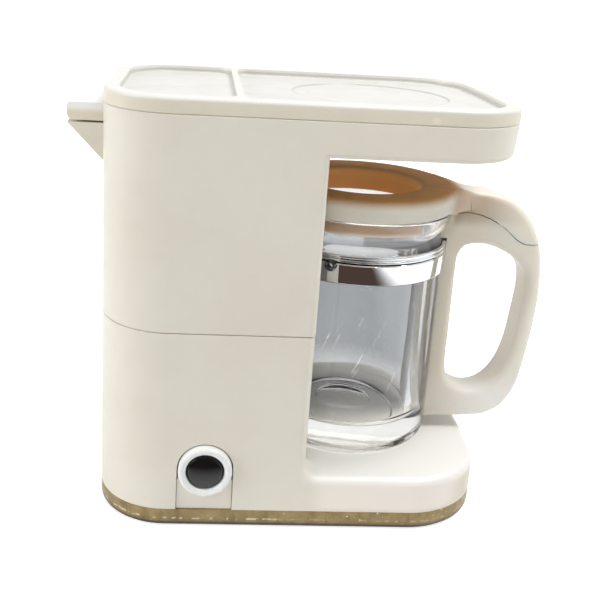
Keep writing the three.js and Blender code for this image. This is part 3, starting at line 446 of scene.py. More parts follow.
def dark_plate():
    """The plating of the eyelet is dark, mottled with brighter plating."""
    made = Finish("eyelet_plating", PAINT["eyelet dark"], 0.14, Metallic=1.0)
    hollow = made.noise(0.5, 3).between(0.35, 0.7)
    made.wear("Base Color", made.blend(hollow, PAINT["eyelet dark"], PAINT["eyelet bright"]))
    made.wear("Roughness", made.noise(0.7, 3).between(0.4, 0.8) * 0.2 + 0.1)
    return made


def plated_steel():
    made = Finish("plated_steel", PAINT["steel"], 0.3, Metallic=1.0)
    made.wear("Roughness", made.noise(0.6, 3).between(0.3, 0.8) * 0.2 + 0.22)
    return made


CREAM = housing_plastic().material
LID_CREAM = lid_plastic().material
CARAFE_CREAM = carafe_plastic().material
RING_WHITE = moulded("switch_ring_plastic", "ring", 0.26).material
CAP_BLACK = moulded("button_plastic", "cap", 0.14).material
GOLD, CLEAR = gold_skirt().material, clear_plastic().material
CHROME, STEEL = chrome_plate().material, plated_steel().material
EYELET = dark_plate().material

FINISHES = {
    "upper_housing": CREAM, "lower_housing": CREAM, "slot_filler": CREAM, "base_pan": GOLD,
    "top_lid": LID_CREAM, "filter_basket": LID_CREAM, "switch_bezel": RING_WHITE,
    "button_guide": RING_WHITE, "button_cap": CAP_BLACK, "jug": CLEAR, "chrome_band": CHROME,
    "band_eyelet": EYELET, "handle": CARAFE_CREAM, "carafe_lid": CARAFE_CREAM,
}


def dress(node, material):
    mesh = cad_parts[node].data
    mesh.materials.clear()
    mesh.materials.append(material)


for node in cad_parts:
    dress(node, FINISHES.get(node, STEEL))


# ---------------------------------------------------------------- hand tools

def let_go():
    if bpy.context.object and bpy.context.object.mode != "OBJECT":
        bpy.ops.object.mode_set(mode="OBJECT")
    bpy.ops.object.select_all(action="DESELECT")


def hold(piece):
    let_go()
    piece.select_set(True)
    bpy.context.view_layer.objects.active = piece


def near(a, b):
    """The same length, as far as shaping in single precision keeps it."""
    return abs(a - b) < 2e-3


def block(name, xs, ys, zs):
    let_go()
    bpy.ops.mesh.primitive_cube_add(size=1, location=[(a + b) / 2 for a, b in (xs, ys, zs)])
    piece = bpy.context.object
    piece.name = name
    piece.scale = [b - a for a, b in (xs, ys, zs)]
    bpy.ops.object.transform_apply(location=True, rotation=False, scale=True)
    return piece


def rod(name, radius, start, end, at, axis="Z", sides=128):
    """A round bar along Z or Y; at holds its two other coordinates."""
    let_go()
    middle = (start + end) / 2
    where = (*at, middle) if axis == "Z" else (at[0], middle, at[1])
    turn = (0, 0, 0) if axis == "Z" else (math.pi / 2, 0, 0)
    bpy.ops.mesh.primitive_cylinder_add(
        vertices=sides, radius=radius, depth=end - start, location=where, rotation=turn
    )
    piece = bpy.context.object
    piece.name = name
    bpy.ops.object.transform_apply(location=True, rotation=True, scale=True)
    return piece


def choose(piece, kind, test):
    """Goes into edit mode with only those points, edges or faces selected that pass the test."""
    hold(piece)
    bpy.ops.object.mode_set(mode="EDIT")
    bpy.ops.mesh.select_mode(type=kind)
    bpy.ops.mesh.select_all(action="DESELECT")
    mesh = bmesh.from_edit_mesh(piece.data)
    if kind == "VERT":
        found = [v for v in mesh.verts if test(v.co)]
    elif kind == "EDGE":
        found = [e for e in mesh.edges if test(*(v.co for v in e.verts))]
    else:
        found = [f for f in mesh.faces if test(f.calc_center_median(), f.normal)]
    for part in found:
        part.select_set(True)
    mesh.select_flush_mode()
    bmesh.update_edit_mesh(piece.data)
    return len(found)


def round_edges(piece, test, radius, steps=6):
    if choose(piece, "EDGE", test):
        bpy.ops.mesh.bevel(offset=radius, segments=steps, affect="EDGES", clamp_overlap=True)
    bpy.ops.object.mode_set(mode="OBJECT")


def shift(piece, test, by, **how):
    choose(piece, "VERT", test)
    bpy.ops.transform.translate(value=by, **how)
    bpy.ops.object.mode_set(mode="OBJECT")


def slice_faces(piece, test, point, normal):
    choose(piece, "FACE", test)
    bpy.ops.mesh.bisect(plane_co=point, plane_no=normal)
    bpy.ops.object.mode_set(mode="OBJECT")


def upright(x, y=None):
    """A test for vertical edges at an x, and at a distance y from the mid plane."""

    def test(a, b):
        at = near(a.x, x) and near(b.x, x) and near(a.y, b.y) and abs(a.z - b.z) > 0.05
        return at and (y is None or near(abs(a.y), y))
    return test


def level_at(z):
    return lambda a, b: near(a.z, z) and near(b.z, z)


def shaped(piece, how, *tools):
    for tool in tools:
        hold(piece)
        step = piece.modifiers.new("shape", "BOOLEAN")
        step.operation = how
        step.object = tool
        step.solver = "EXACT"
        bpy.ops.object.modifier_apply(modifier=step.name)
        bpy.data.objects.remove(tool, do_unlink=True)
    return piece


def soften(piece, width, degrees=50, steps=2):
    hold(piece)
    step = piece.modifiers.new("soften", "BEVEL")
    step.width = width
    step.segments = steps
    step.limit_method = "ANGLE"
    step.angle_limit = math.radians(degrees)
    step.use_clamp_overlap = True
    step.miter_outer = "MITER_ARC"
    bpy.ops.object.modifier_apply(modifier=step.name)


def bow_front(piece, x, bow=BOW):
    """Cuts the flat front of a block in strips and lets it bow out towards its middle."""
    reach, strip = 12, 2
    for y in range(-reach, reach + 1, strip):
        slice_faces(piece, lambda c, n: n.x > 0.99 and near(c.x, x), (0, y, 0), (0, 1, 0))
    shift(
        piece,
        lambda p: near(p.x, x) and abs(p.y) < 0.01,
        (bow, 0, 0),
        use_proportional_edit=True,
        proportional_edit_falloff="INVERSE_SQUARE",
        proportional_size=HALF,
    )


def plan_block(name, x0, x1, half, z0, z1, rear, front, bow=BOW):
    """A slab with rounded upright corners and a bowed front, x1 at its foremost."""
    piece = block(name, (x0, x1 - bow), (-half, half), (z0, z1))
    for x, radius in ((x0, rear), (x1 - bow, front)):
        if radius:
            round_edges(piece, upright(x, half), radius, 16)
    if bow:
        bow_front(piece, x1 - bow, bow)
    return piece


def drawn(name, points):
    """A line of edges, each point pulled out of the last one; it is left in edit mode."""
    let_go()
    bpy.ops.mesh.primitive_plane_add(size=1, location=(0, 0, 0))
    piece = bpy.context.object
    piece.name = name
    bpy.ops.object.mode_set(mode="EDIT")
    bpy.ops.mesh.select_mode(type="VERT")
    bpy.ops.mesh.select_all(action="SELECT")
    bpy.ops.mesh.merge(type="CENTER")
    here = points[0]
    bpy.ops.transform.translate(value=here)
    for there in points[1:]:
        bpy.ops.mesh.extrude_vertices_move(TRANSFORM_OT_translate={"value": there - here})
        here = there
    return piece


def lathed(name, outline, at, axis="Z", sides=128):
    """An outline of radius and height, spun round an upright or a level axis."""
    def spot(r, h):
        return Vector((at[0] + r, at[1], h)) if axis == "Z" else Vector((at[0] + r, h, at[1]))

    piece = drawn(name, [spot(*point) for point in outline])
    if outline[0][0] > 0 or outline[-1][0] > 0:
        mesh = bmesh.from_edit_mesh(piece.data)
        bpy.ops.mesh.select_all(action="DESELECT")
        for v in mesh.verts:
            if len(v.link_edges) == 1:
                v.select_set(True)
        bmesh.update_edit_mesh(piece.data)
        bpy.ops.mesh.edge_face_add()
    bpy.ops.mesh.select_all(action="SELECT")
    centre = (at[0], at[1], 0) if axis == "Z" else (at[0], 0, at[1])
    line = (0, 0, 1) if axis == "Z" else (0, 1, 0)
    bpy.ops.mesh.spin(steps=sides, angle=2 * math.pi, center=centre, axis=line, dupli=False)
    bpy.ops.mesh.select_all(action="SELECT")
    bpy.ops.mesh.remove_doubles(threshold=1e-4)
    bpy.ops.mesh.normals_make_consistent(inside=False)
    bpy.ops.object.mode_set(mode="OBJECT")
    return piece


def arc(r, z, radius, start, end, steps=6):
    """Points of an arc round (r, z), in degrees from the outward side."""
    for i in range(steps + 1):
        turn = math.radians(start + (end - start) * i / steps)
        yield r + radius * math.cos(turn), z + radius * math.sin(turn)


def settle(piece, body, material, slot, *nodes, angle=35, flat_first=False):
    """Sets a finished piece down in the frame, at the origin, smooth, and riding on its body."""
    hold(piece)
    bpy.ops.object.mode_set(mode="EDIT")
    bpy.ops.mesh.select_all(action="SELECT")
    bpy.ops.mesh.remove_doubles(threshold=2e-4)
    bpy.ops.mesh.dissolve_degenerate(threshold=2e-4)
    bpy.ops.mesh.normals_make_consistent(inside=False)
    bpy.ops.object.mode_set(mode="OBJECT")
    piece.scale = (MM, MM, MM)
    piece.location = HOME
    bpy.ops.object.transform_apply(location=True, rotation=True, scale=True)
    bpy.ops.object.shade_smooth_by_angle(angle=math.radians(angle))
    if flat_first:
        step = piece.modifiers.new("even", "WEIGHTED_NORMAL")
        step.keep_sharp = True
        step.weight = 100
        bpy.ops.object.modifier_apply(modifier=step.name)
    piece.data.materials.clear()
    piece.data.materials.append(material)
    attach(piece, body)
    if nodes:
        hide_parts(*nodes)
    return piece


# ---------------------------------------------------------------- body of the machine

def upper_shell():
    """Tower and head: the head is drawn out of the tower's front in one pull."""
    low, high = SEAM + SEAM_GAP, LID_SEAM - LID_GAP
    piece = block("upper_shell", (0, TOWER), (-HALF, HALF), (low, high))
    slice_faces(piece, lambda c, n: n.x > 0.9, (0, 0, SOFFIT), (0, 0, 1))
    choose(piece, "FACE", lambda c, n: n.x > 0.9 and c.z > SOFFIT)
    bpy.ops.mesh.extrude_region_move(TRANSFORM_OT_translate={"value": (HEAD - BOW - TOWER, 0, 0)})
    choose(piece, "EDGE", lambda a, b: near(a.x, TOWER) and near(b.x, TOWER) and max(a.z, b.z) > SOFFIT + 1)
    bpy.ops.mesh.dissolve_edges(use_verts=True)
    bpy.ops.object.mode_set(mode="OBJECT")
    round_edges(piece, upright(0, HALF), REAR_CORNER, 18)
    round_edges(piece, upright(HEAD - BOW, HALF), HEAD_CORNER, 16)
    bow_front(piece, HEAD - BOW)
    choose(piece, "VERT", lambda p: near(p.z, SOFFIT) and p.x > TOWER + 1)
    draft = (HEAD - TOWER - DRAFT) / (HEAD - TOWER)
    bpy.ops.transform.resize(value=(draft, 1, 1), center_override=(TOWER, 0, SOFFIT))
    bpy.ops.object.mode_set(mode="OBJECT")

    def hem(a, b):
        post = near(a.x, TOWER) and near(b.x, TOWER) and near(a.y, b.y) and min(a.z, b.z) < SOFFIT - 1
        lower = near(a.z, SOFFIT) and near(b.z, SOFFIT) and max(a.x, b.x) > TOWER + 0.1
        return post or lower

    round_edges(piece, hem, MOUTH_EDGE, 5)
    round_edges(piece, level_at(low), SEAM_EDGE, 2)
    round_edges(piece, level_at(high), 0.6 * SEAM_EDGE, 1)
    shaped(piece, "DIFFERENCE", rod("niche", NICHE, SEAM - 3, SOFFIT + CLEAR_OF_FACE, (BREW, 0)))
    shaped(piece, "DIFFERENCE", *upper_hollows())
    wedge_low, wedge_tip, taper = 49.0, -0.5, 0.25
    wedge = block("wedge", (LUG_END, LUG_ROOT), (-LUG_HALF, LUG_HALF), (wedge_low, LUG_LOW - LUG_GAP))
    shift(wedge, lambda p: near(p.x, LUG_END) and near(p.z, wedge_low), (wedge_tip - LUG_END, 0, taper))
    shift(wedge, lambda p: near(p.x, LUG_ROOT) and near(p.z, wedge_low), (0, 0, -taper))
    knuckle = rod("knuckle", BARREL, -KNUCKLE_HALF, KNUCKLE_HALF, (HINGE_X, HINGE_Z), "Y", 48)
    foot_low = LUG_LOW - LUG_GAP - 0.05
    foot = block("foot", (LUG_END, HINGE_X + BARREL), (-KNUCKLE_HALF, KNUCKLE_HALF), (foot_low, HINGE_Z))
    shaped(piece, "UNION", wedge, knuckle, foot)
    soften(piece, 0.14)
    return settle(piece, "housing", CREAM, "housing", "upper_housing", flat_first=True)


def upper_hollows():
    """What is cut out of the upper shell: tank, well, the saddle between them, notch, basket hole."""
    tank_wall, tank_end, tank_floor = 1.5, 16.9, SEAM + 2.7
    well_wall, well_start, well_floor = 2.4, 18.3, SOFFIT + 1.4
    sky = RIM + OVERRUN
    tank = plan_block("tank", tank_wall, tank_end, HALF - tank_wall, tank_floor, sky, 8, 0, 0)
    well = plan_block("well", well_start, HEAD - well_wall, HALF - well_wall, well_floor, sky, 0, 6.1)
    saddle = block("saddle", (16, 19), (well_wall - HALF, HALF - well_wall), (LID_SEAM - 1.5, sky))
    room = LUG_HALF + LUG_GAP
    notch = block("notch", (-1, 2.7), (-room, room), (LUG_LOW - LUG_GAP, RIM))
    basket_hole = rod("basket_hole", 9.1, SOFFIT - OVERRUN, SOFFIT + 3, (BREW, 0))
    return tank, well, saddle, notch, basket_hole


def lower_shell():
    """Foot and deck: the foot is drawn up out of the deck's rear, with a cove between them."""
    high, cove_radius = SEAM - SEAM_GAP, 2.0
    piece = block("lower_shell", (0, BASE - BOW), (-HALF, HALF), (SKIRT, DECK))
    slice_faces(piece, lambda c, n: n.z > 0.9, (TOWER, 0, 0), (1, 0, 0))
    choose(piece, "FACE", lambda c, n: n.z > 0.9 and c.x < TOWER)
    bpy.ops.mesh.extrude_region_move(TRANSFORM_OT_translate={"value": (0, 0, high - DECK)})
    choose(piece, "EDGE", lambda a, b: near(a.z, DECK) and near(b.z, DECK) and min(a.x, b.x) < 1)
    bpy.ops.mesh.dissolve_edges(use_verts=True)
    bpy.ops.object.mode_set(mode="OBJECT")
    round_edges(piece, upright(0, HALF), REAR_CORNER, 18)
    round_edges(piece, upright(BASE - BOW, HALF), BASE_CORNER, 18)
    bow_front(piece, BASE - BOW)

    def at_tower(a, b):
        return near(a.x, TOWER) and near(b.x, TOWER)

    def at_deck(a, b):
        return near(a.z, DECK) and near(b.z, DECK)

    def rim(a, b):
        outside = at_deck(a, b) and max(a.x, b.x) > TOWER + cove_radius + 0.1
        post = at_tower(a, b) and near(a.y, b.y) and max(a.z, b.z) > DECK + 3
        on_side = near(abs(a.y), HALF) and near(a.y, b.y)
        past_tower = TOWER - 0.01 < min(a.x, b.x) and max(a.x, b.x) < TOWER + cove_radius + 0.01
        over_deck = DECK - 0.01 < min(a.z, b.z) and max(a.z, b.z) < DECK + cove_radius + 0.01
        return outside or post or (on_side and past_tower and over_deck)

    round_edges(piece, lambda a, b: at_tower(a, b) and at_deck(a, b), cove_radius, 8)
    round_edges(piece, rim, DECK_EDGE, 6)
    round_edges(piece, level_at(high), SEAM_EDGE, 2)
    shaped(piece, "DIFFERENCE", rod("niche", NICHE, DECK + CLEAR_OF_FACE, SEAM + 3, (BREW, 0)))
    slot_half, slot_deep, guide_deep = 3.9, 1.7, 9.5
    outside = -HALF - OVERRUN
    arch = rod("arch", slot_half, outside, -HALF + guide_deep, (SWITCH_X, SWITCH_Z), "Y", 96)
    width = (SWITCH_X - slot_half, SWITCH_X + slot_half)
    slot = block("slot", width, (outside, -HALF + slot_deep), (SKIRT - OVERRUN, SWITCH_Z))
    shaped(piece, "DIFFERENCE", arch, slot)
    soften(piece, 0.16)
    return settle(piece, "housing", CREAM, "housing", "lower_housing", flat_first=True)


def gold_pan():
    """The skirt under the whole body, with four holes for the screws below."""
    piece = plan_block("gold_pan", 0, BASE, HALF, 0, SKIRT, REAR_CORNER, BASE_CORNER)
    round_edges(piece, level_at(0), PAN_EDGE, 5)
    hole_radius, hole_deep, rear, front, aside = 1.3, 0.85, 7.6, BASE - 8.6, 15.25
    holes = [
        rod("hole", hole_radius, -1, hole_deep, (x, y), sides=32)
        for x in (rear, front) for y in (aside, -aside)
    ]
    shaped(piece, "DIFFERENCE", *holes)
    soften(piece, 0.08)
    return settle(piece, "housing", GOLD, "base", "base_pan", flat_first=True)


def top_cover():
    """The lid: rounded rim, two recesses with a ridge between, a dish, a lip below and a hinge lug."""
    piece = plan_block("top_cover", 0, HEAD, HALF, LID_SEAM, RIM, REAR_CORNER, HEAD_CORNER)
    round_edges(piece, level_at(RIM), LID_EDGE, 5)
    round_edges(piece, level_at(LID_SEAM), 0.75 * SEAM_EDGE, 2)
    shaped(piece, "DIFFERENCE", *cover_recesses())
    shaped(piece, "UNION", cover_lip(), cover_lug())
    soften(piece, 0.13)
    return settle(piece, "lid", LID_CREAM, "lid", "top_lid", flat_first=True)


def cover_recesses():
    """Two recesses with a ridge between them, and the shallow dish in the front one."""
    rim, floor, sky = 2, RIM - 0.9, RIM + OVERRUN
    ridge_rear, ridge_front, ridge_corner = 17.15, 18.05, 2
    rear = plan_block("rear_recess", rim, ridge_rear, HALF - rim, floor, sky, 7.5, ridge_corner, 0)
    front = plan_block("front_recess", ridge_front, HEAD - rim, HALF - rim, floor, sky, ridge_corner, 6.5)
    for recess in (rear, front):
        round_edges(recess, level_at(floor), 0.35, 3)
    radius, deep, middle = 11, 0.45, 0.6
    ball = (radius ** 2 + deep ** 2) / (2 * deep)
    bowl = [(r, floor - middle + ball - math.sqrt(ball ** 2 - r * r)) for r in range(radius + 1)]
    edge = [(radius + 0.1, floor + 0.05), (radius + 0.1, floor + 0.5), (0, floor + 0.5)]
    return rear, front, lathed("dish", [*bowl, *edge], (BREW, 0))


def cover_lip():
    """The lip that centres the lid in the head, open where the hinge is."""
    set_in, thick, deep = 2.7, 1.0, 1.2
    inner, below = set_in + thick, LID_SEAM - 2
    lip = plan_block("lip", set_in, HEAD - set_in, HALF - set_in, LID_SEAM - deep, LID_SEAM + 0.4, 6.8, 5.8)
    inside = plan_block("lip_inside", inner, HEAD - inner, HALF - inner, below, LID_SEAM, 5.8, 4.8)
    behind = block("lip_behind", (0, 4.5), (-HALF, HALF), (below, LID_SEAM))
    return shaped(lip, "DIFFERENCE", inside, behind)


def cover_lug():
    """The lid's half of the hinge block, with room for the knuckle."""
    lug = block("lug", (LUG_END, LUG_ROOT), (-LUG_HALF, LUG_HALF), (LUG_LOW, LUG_HIGH))
    for z, radius in ((LUG_HIGH, 0.6), (LUG_LOW, BARREL)):
        def at_end(a, b):
            return all(near(p.x, LUG_END) and near(p.z, z) for p in (a, b))

        round_edges(lug, at_end, radius, 8)
    stem = block("stem", (0, LUG_ROOT), (-LUG_HALF, LUG_HALF), (HINGE_Z, LID_SEAM + 0.5))
    room, clear = KNUCKLE_HALF + 0.3, BARREL + 0.3
    knuckle_room = block("room", (-7, HINGE_X + clear), (-room, room), (LUG_LOW - 1, HINGE_Z + clear))
    return shaped(shaped(lug, "UNION", stem), "DIFFERENCE", knuckle_room)


# ---------------------------------------------------------------- switch

def ring_front(depth):
    """The y of a depth behind the face of the switch ring."""
    return -HALF - SWITCH_PROUD + depth


def turned_switch(name, outline):
    """A round piece of the switch, from radii and depths behind the ring's face."""
    return lathed(name, [(r, ring_front(d)) for r, d in outline], (SWITCH_X, SWITCH_Z), "Y", 96)


def switch_ring():
    bore, outside, back = 2.65, 3.72, 3.2
    outline = [(bore, back), (bore, 0.55), *arc(3.1, 0.55, 0.45, 180, 270, 4)]
    outline += [*arc(outside - 0.5, 0.5, 0.5, 270, 360, 5), (outside, back)]
    piece = turned_switch("switch_ring", outline)
    return settle(piece, "housing", RING_WHITE, "trim", "switch_bezel")


def push_cap():
    """A crowned cap on a flange and a stem."""
    crown = [(r, 0.12 + 0.2 * (r / 2.1) ** 2) for r in (0, 0.5, 1.0, 1.5, 1.9, 2.1)]
    side, flange, stem, under, behind, end = 2.5, 2.9, 0.7, 3.3, 4.1, 7.0
    back = [(side, under), (flange, under), (flange, behind), (stem, behind), (stem, end), (0, end)]
    piece = turned_switch("push_cap", [*crown, *arc(2.1, 0.72, 0.4, 270, 360, 4), *back])
    return settle(piece, "button", CAP_BLACK, "button", "button_cap")


def return_spring():
    """Round wire wound on a screw."""
    low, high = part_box("button_spring")
    wire, coil, turns, travel, seat = 0.2, 1.6, 4, 0.8 * MM, -0.011
    length = (high[1] - low[1]) / MM - 2 * wire
    start = (low[1] - HOME.y) / MM + wire
    let_go()
    bpy.ops.mesh.primitive_circle_add(radius=wire, vertices=12, location=(SWITCH_X, start, SWITCH_Z))
    piece = bpy.context.object
    piece.name = "return_spring"
    shift(piece, lambda p: True, (coil, 0, 0))
    hold(piece)
    wound = piece.modifiers.new("wound", "SCREW")
    wound.axis = "Y"
    wound.screw_offset = length / turns
    wound.iterations = turns
    wound.steps = wound.render_steps = 32
    bpy.ops.object.modifier_apply(modifier=wound.name)
    bpy.ops.object.transform_apply(location=True)
    bpy.ops.object.mode_set(mode="EDIT")
    bpy.ops.mesh.select_mode(type="VERT")
    bpy.ops.mesh.select_all(action="SELECT")
    bpy.ops.mesh.remove_doubles(threshold=1e-3)
    bpy.ops.mesh.select_all(action="DESELECT")
    bpy.ops.mesh.select_non_manifold()
    bpy.ops.mesh.fill_holes(sides=0)
    bpy.ops.object.mode_set(mode="OBJECT")
    settle(piece, "housing", STEEL, "fastener", "button_spring")
    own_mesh(piece)


def slot_plate():
    """Fills the slot between the ring and the skirt, set back a little."""
    half, front, back = 3.85, -HALF + 0.22, -HALF + 1.5
    piece = block("slot_plate", (SWITCH_X - half, SWITCH_X + half), (front, back), (SKIRT, SWITCH_Z - 1.6))
    shaped(piece, "DIFFERENCE", rod("room", 3.8, -HALF - 1, -HALF + 3, (SWITCH_X, SWITCH_Z), "Y", 96))
    soften(piece, 0.1)
    return settle(piece, "housing", CREAM, "housing", "slot_filler", flat_first=True)


# ---------------------------------------------------------------- carafe

def neck_curve(radius, low, rise, steps):
    """The flare of the neck, from a radius and a height above the deck."""
    for i in range(steps + 1):
        yield radius + NECK_FLARE * math.sin(math.pi / 2 * i / steps), low + rise * i / steps


def on_deck(outline):
    return [(r, DECK + z) for r, z in outline]


def clear_jug():
    """Thick wall, raised floor with a round step, and a neck that flares to a thin rim."""
    foot, under, bore = 7.6, 0.55, 10.1
    outer = [(0, under), (foot, under), *arc(8.4, under, 0.5, 180, 270, 3)]
    outer += arc(10.95, 1.8, 1.8, 270, 360, 8)
    outer += [(JUG_RADIUS, 26.7), (JUG_RADIUS, 30.5), *arc(12.1, 30.6, 0.4, 0, 60, 3)]
    neck = neck_curve(11.6, 31.9, 3.3, 10)
    rim = [(13.5, 35.35), (13.35, 35.5), (12.15, 35.5)]
    inner = [*neck_curve(bore, 31.4, 3.8, 10)][::-1]
    floor = [*arc(8.6, 5.5, 1.5, 360, 270, 6), (4.75, 4.0), *arc(4.4, 3.8, 0.2, 90, 180, 3)]
    floor += [(4.0, 3.68), (0, 3.65)]
    outline = [*outer, *neck, *rim, *inner, (bore, 30.4), *floor]
    piece = lathed("clear_jug", on_deck(outline), (BREW, 0), sides=160)
    return settle(piece, "carafe", CLEAR, "clear", "jug", angle=50)


def neck_band():
    """A plain band with two beads above it."""
    z, inside = BAND_LOW, JUG_RADIUS + 0.12
    outline = [(inside, z), (12.9, z), *arc(12.85, z + 0.2, 0.2, 270, 360, 3), (13.05, z + 2.75)]
    outline += [(12.8, z + 3.0), *arc(12.8, z + 3.3, 0.25, 270, 450, 6), (12.75, z + 3.6)]
    outline += [*arc(12.75, z + 3.9, 0.25, 270, 450, 6), (inside, z + 4.15)]
    piece = lathed("neck_band", outline, (BREW, 0), sides=160)
    return settle(piece, "carafe", CHROME, "band", "chrome_band")


# The handle's outer and inner outline, and the seat of the tongue, as shares of its reach and height.
LOOP = [
    ((-0.312, 0.005), (0.217, 0.172)), ((0.102, 0.005), (0.293, 0.149)), ((0.408, 0.007), (0.408, 0.132)),
    ((0.611, 0.018), (0.541, 0.141)), ((0.777, 0.06), (0.65, 0.175)), ((0.896, 0.148), (0.739, 0.237)),
    ((0.955, 0.285), (0.796, 0.325)), ((0.994, 0.446), (0.828, 0.446)), ((0.997, 0.608), (0.844, 0.597)),
    ((0.968, 0.712), (0.809, 0.664)), ((0.911, 0.796), (0.72, 0.707)), ((0.796, 0.884), (0.599, 0.739)),
    ((0.618, 0.95), (0.459, 0.761)), ((0.401, 0.978), (0.318, 0.767)), ((0.204, 0.984), (0.204, 0.753)),
    ((0, 1), (0.154, 0.715)), ((-0.312, 1), (0.15, 0.664)), ((-0.312, 0.646), (0.155, 0.575)),
    ((-0.312, 0.395), (0.161, 0.395)), ((-0.312, 0.18), (0.172, 0.234)),
]
SEAT = [
    (-0.522, 0.89), (0.076, 0.892), (0.204, 0.897), (0.382, 0.879), (0.548, 0.841), (0.688, 0.793),
    (0.739, 0.78),
]
SEAT_STEP = [(0.777, 0.774), (1.25, 0.772)]
HANDLE_REACH, HANDLE_LOW, HANDLE_HEIGHT = 15.69, DECK + 1.6, 37.2


def on_handle(shares):
    across, up = shares
    return Vector((BREW + JUG_RADIUS + HANDLE_REACH * across, HANDLE_LOW + HANDLE_HEIGHT * up))


def flowing(points, closed, steps):
    """A centripetal curve through points, sampled evenly between each two."""
    if closed:
        chain = [points[-1], *points, *points[:2]]
    else:
        chain = [2 * points[0] - points[1], *points, 2 * points[-1] - points[-2]]
    made = []
    for four in zip(chain, chain[1:], chain[2:], chain[3:]):
        knots = [0.0]
        for a, b in zip(four, four[1:]):
            knots.append(knots[-1] + (b - a).length ** 0.5)
        t0, t1, t2, t3 = knots
        for s in range(steps):
            t = t1 + (t2 - t1) * s / steps
            layer = four
            for spans in (((t0, t1), (t1, t2), (t2, t3)), ((t0, t2), (t1, t3)), ((t1, t2),)):
                layer = [
                    a * ((hi - t) / (hi - lo)) + b * ((t - lo) / (hi - lo))
                    for a, b, (lo, hi) in zip(layer, layer[1:], spans)
                ]
            made.append(layer[0])
    return made if closed else [*made, points[-1].copy()]


def handle_loop(name, half_width, rounding=1.15, steps=8, corner=5):
    """The handle with the tongue of the lid still on it: a closed skin over rounded sections."""
    outer = flowing([on_handle(pair[0]) for pair in LOOP], True, steps)
    inner = flowing([on_handle(pair[1]) for pair in LOOP], True, steps)
    mesh = bmesh.new()
    rings = []
    for near_hole, far in zip(inner, outer):
        across = far - near_hole
        length = across.length
        across.normalize()
        half = half_width(far.x)
        ring = []
        for at, side, start in (
            (rounding, -1, math.pi), (length - rounding, -1, 1.5 * math.pi),
            (length - rounding, 1, 0), (rounding, 1, 0.5 * math.pi),
        ):
            for i in range(corner + 1):
                turn = start + 0.5 * math.pi * i / corner
                spot = near_hole + across * (at + rounding * math.cos(turn))
                aside = side * (half - rounding) + rounding * math.sin(turn)
                ring.append(mesh.verts.new((spot.x, aside, spot.y)))
        rings.append(ring)
    for a, b in zip(rings, rings[1:] + rings[:1]):
        for i in range(len(a)):
            j = (i + 1) % len(a)
            mesh.faces.new((a[i], a[j], b[j], b[i]))
    bmesh.ops.recalc_face_normals(mesh, faces=mesh.faces)
    data = bpy.data.meshes.new(name)
    mesh.to_mesh(data)
    mesh.free()
    piece = bpy.data.objects.new(name, data)
    bpy.context.scene.collection.objects.link(piece)
    return piece


def above_seat(gap):
    """A block whose underside is the seat of the tongue on the handle."""
    line = flowing([on_handle(p) for p in SEAT], False, 6) + [on_handle(p) for p in SEAT_STEP]
    sky, aside = JUG_RIM + 12, 14
    points = [Vector((line[0].x, -aside, sky))]
    points += [Vector((p.x, -aside, p.y + gap)) for p in line]
    piece = drawn("above_seat", points + [Vector((line[-1].x, -aside, sky))])
    bpy.ops.mesh.select_all(action="SELECT")
    bpy.ops.mesh.edge_face_add()
    bpy.ops.mesh.extrude_region_move(TRANSFORM_OT_translate={"value": (0, 2 * aside, 0)})
    bpy.ops.mesh.select_all(action="SELECT")
    bpy.ops.mesh.normals_make_consistent(inside=False)
    bpy.ops.object.mode_set(mode="OBJECT")
    return piece


def carafe_handle():
    """The loop, cut to the jug's side, the band and the neck."""
    piece = handle_loop("carafe_handle", lambda x: HANDLE_HALF)
    at_foot, at_band = JUG_RADIUS + 0.31, 13.05 + 0.06
    outline = [(0, -2), (at_foot, -2), (at_foot, 1.8), (JUG_RADIUS + 0.06, 26.5), (at_band, 26.5)]
    outline += [(at_band, 31.05), (11.9, 31.05), *neck_curve(11.65, 31.9, 3.5, 8)]
    outline += [(13.62, 35.3), (13.62, 38), (0, 38)]
    shaped(piece, "DIFFERENCE", lathed("room", on_deck(outline), (BREW, 0)), above_seat(0))
    soften(piece, 0.1, 60)
    return settle(piece, "carafe", CARAFE_CREAM, "carafe_trim", "handle")


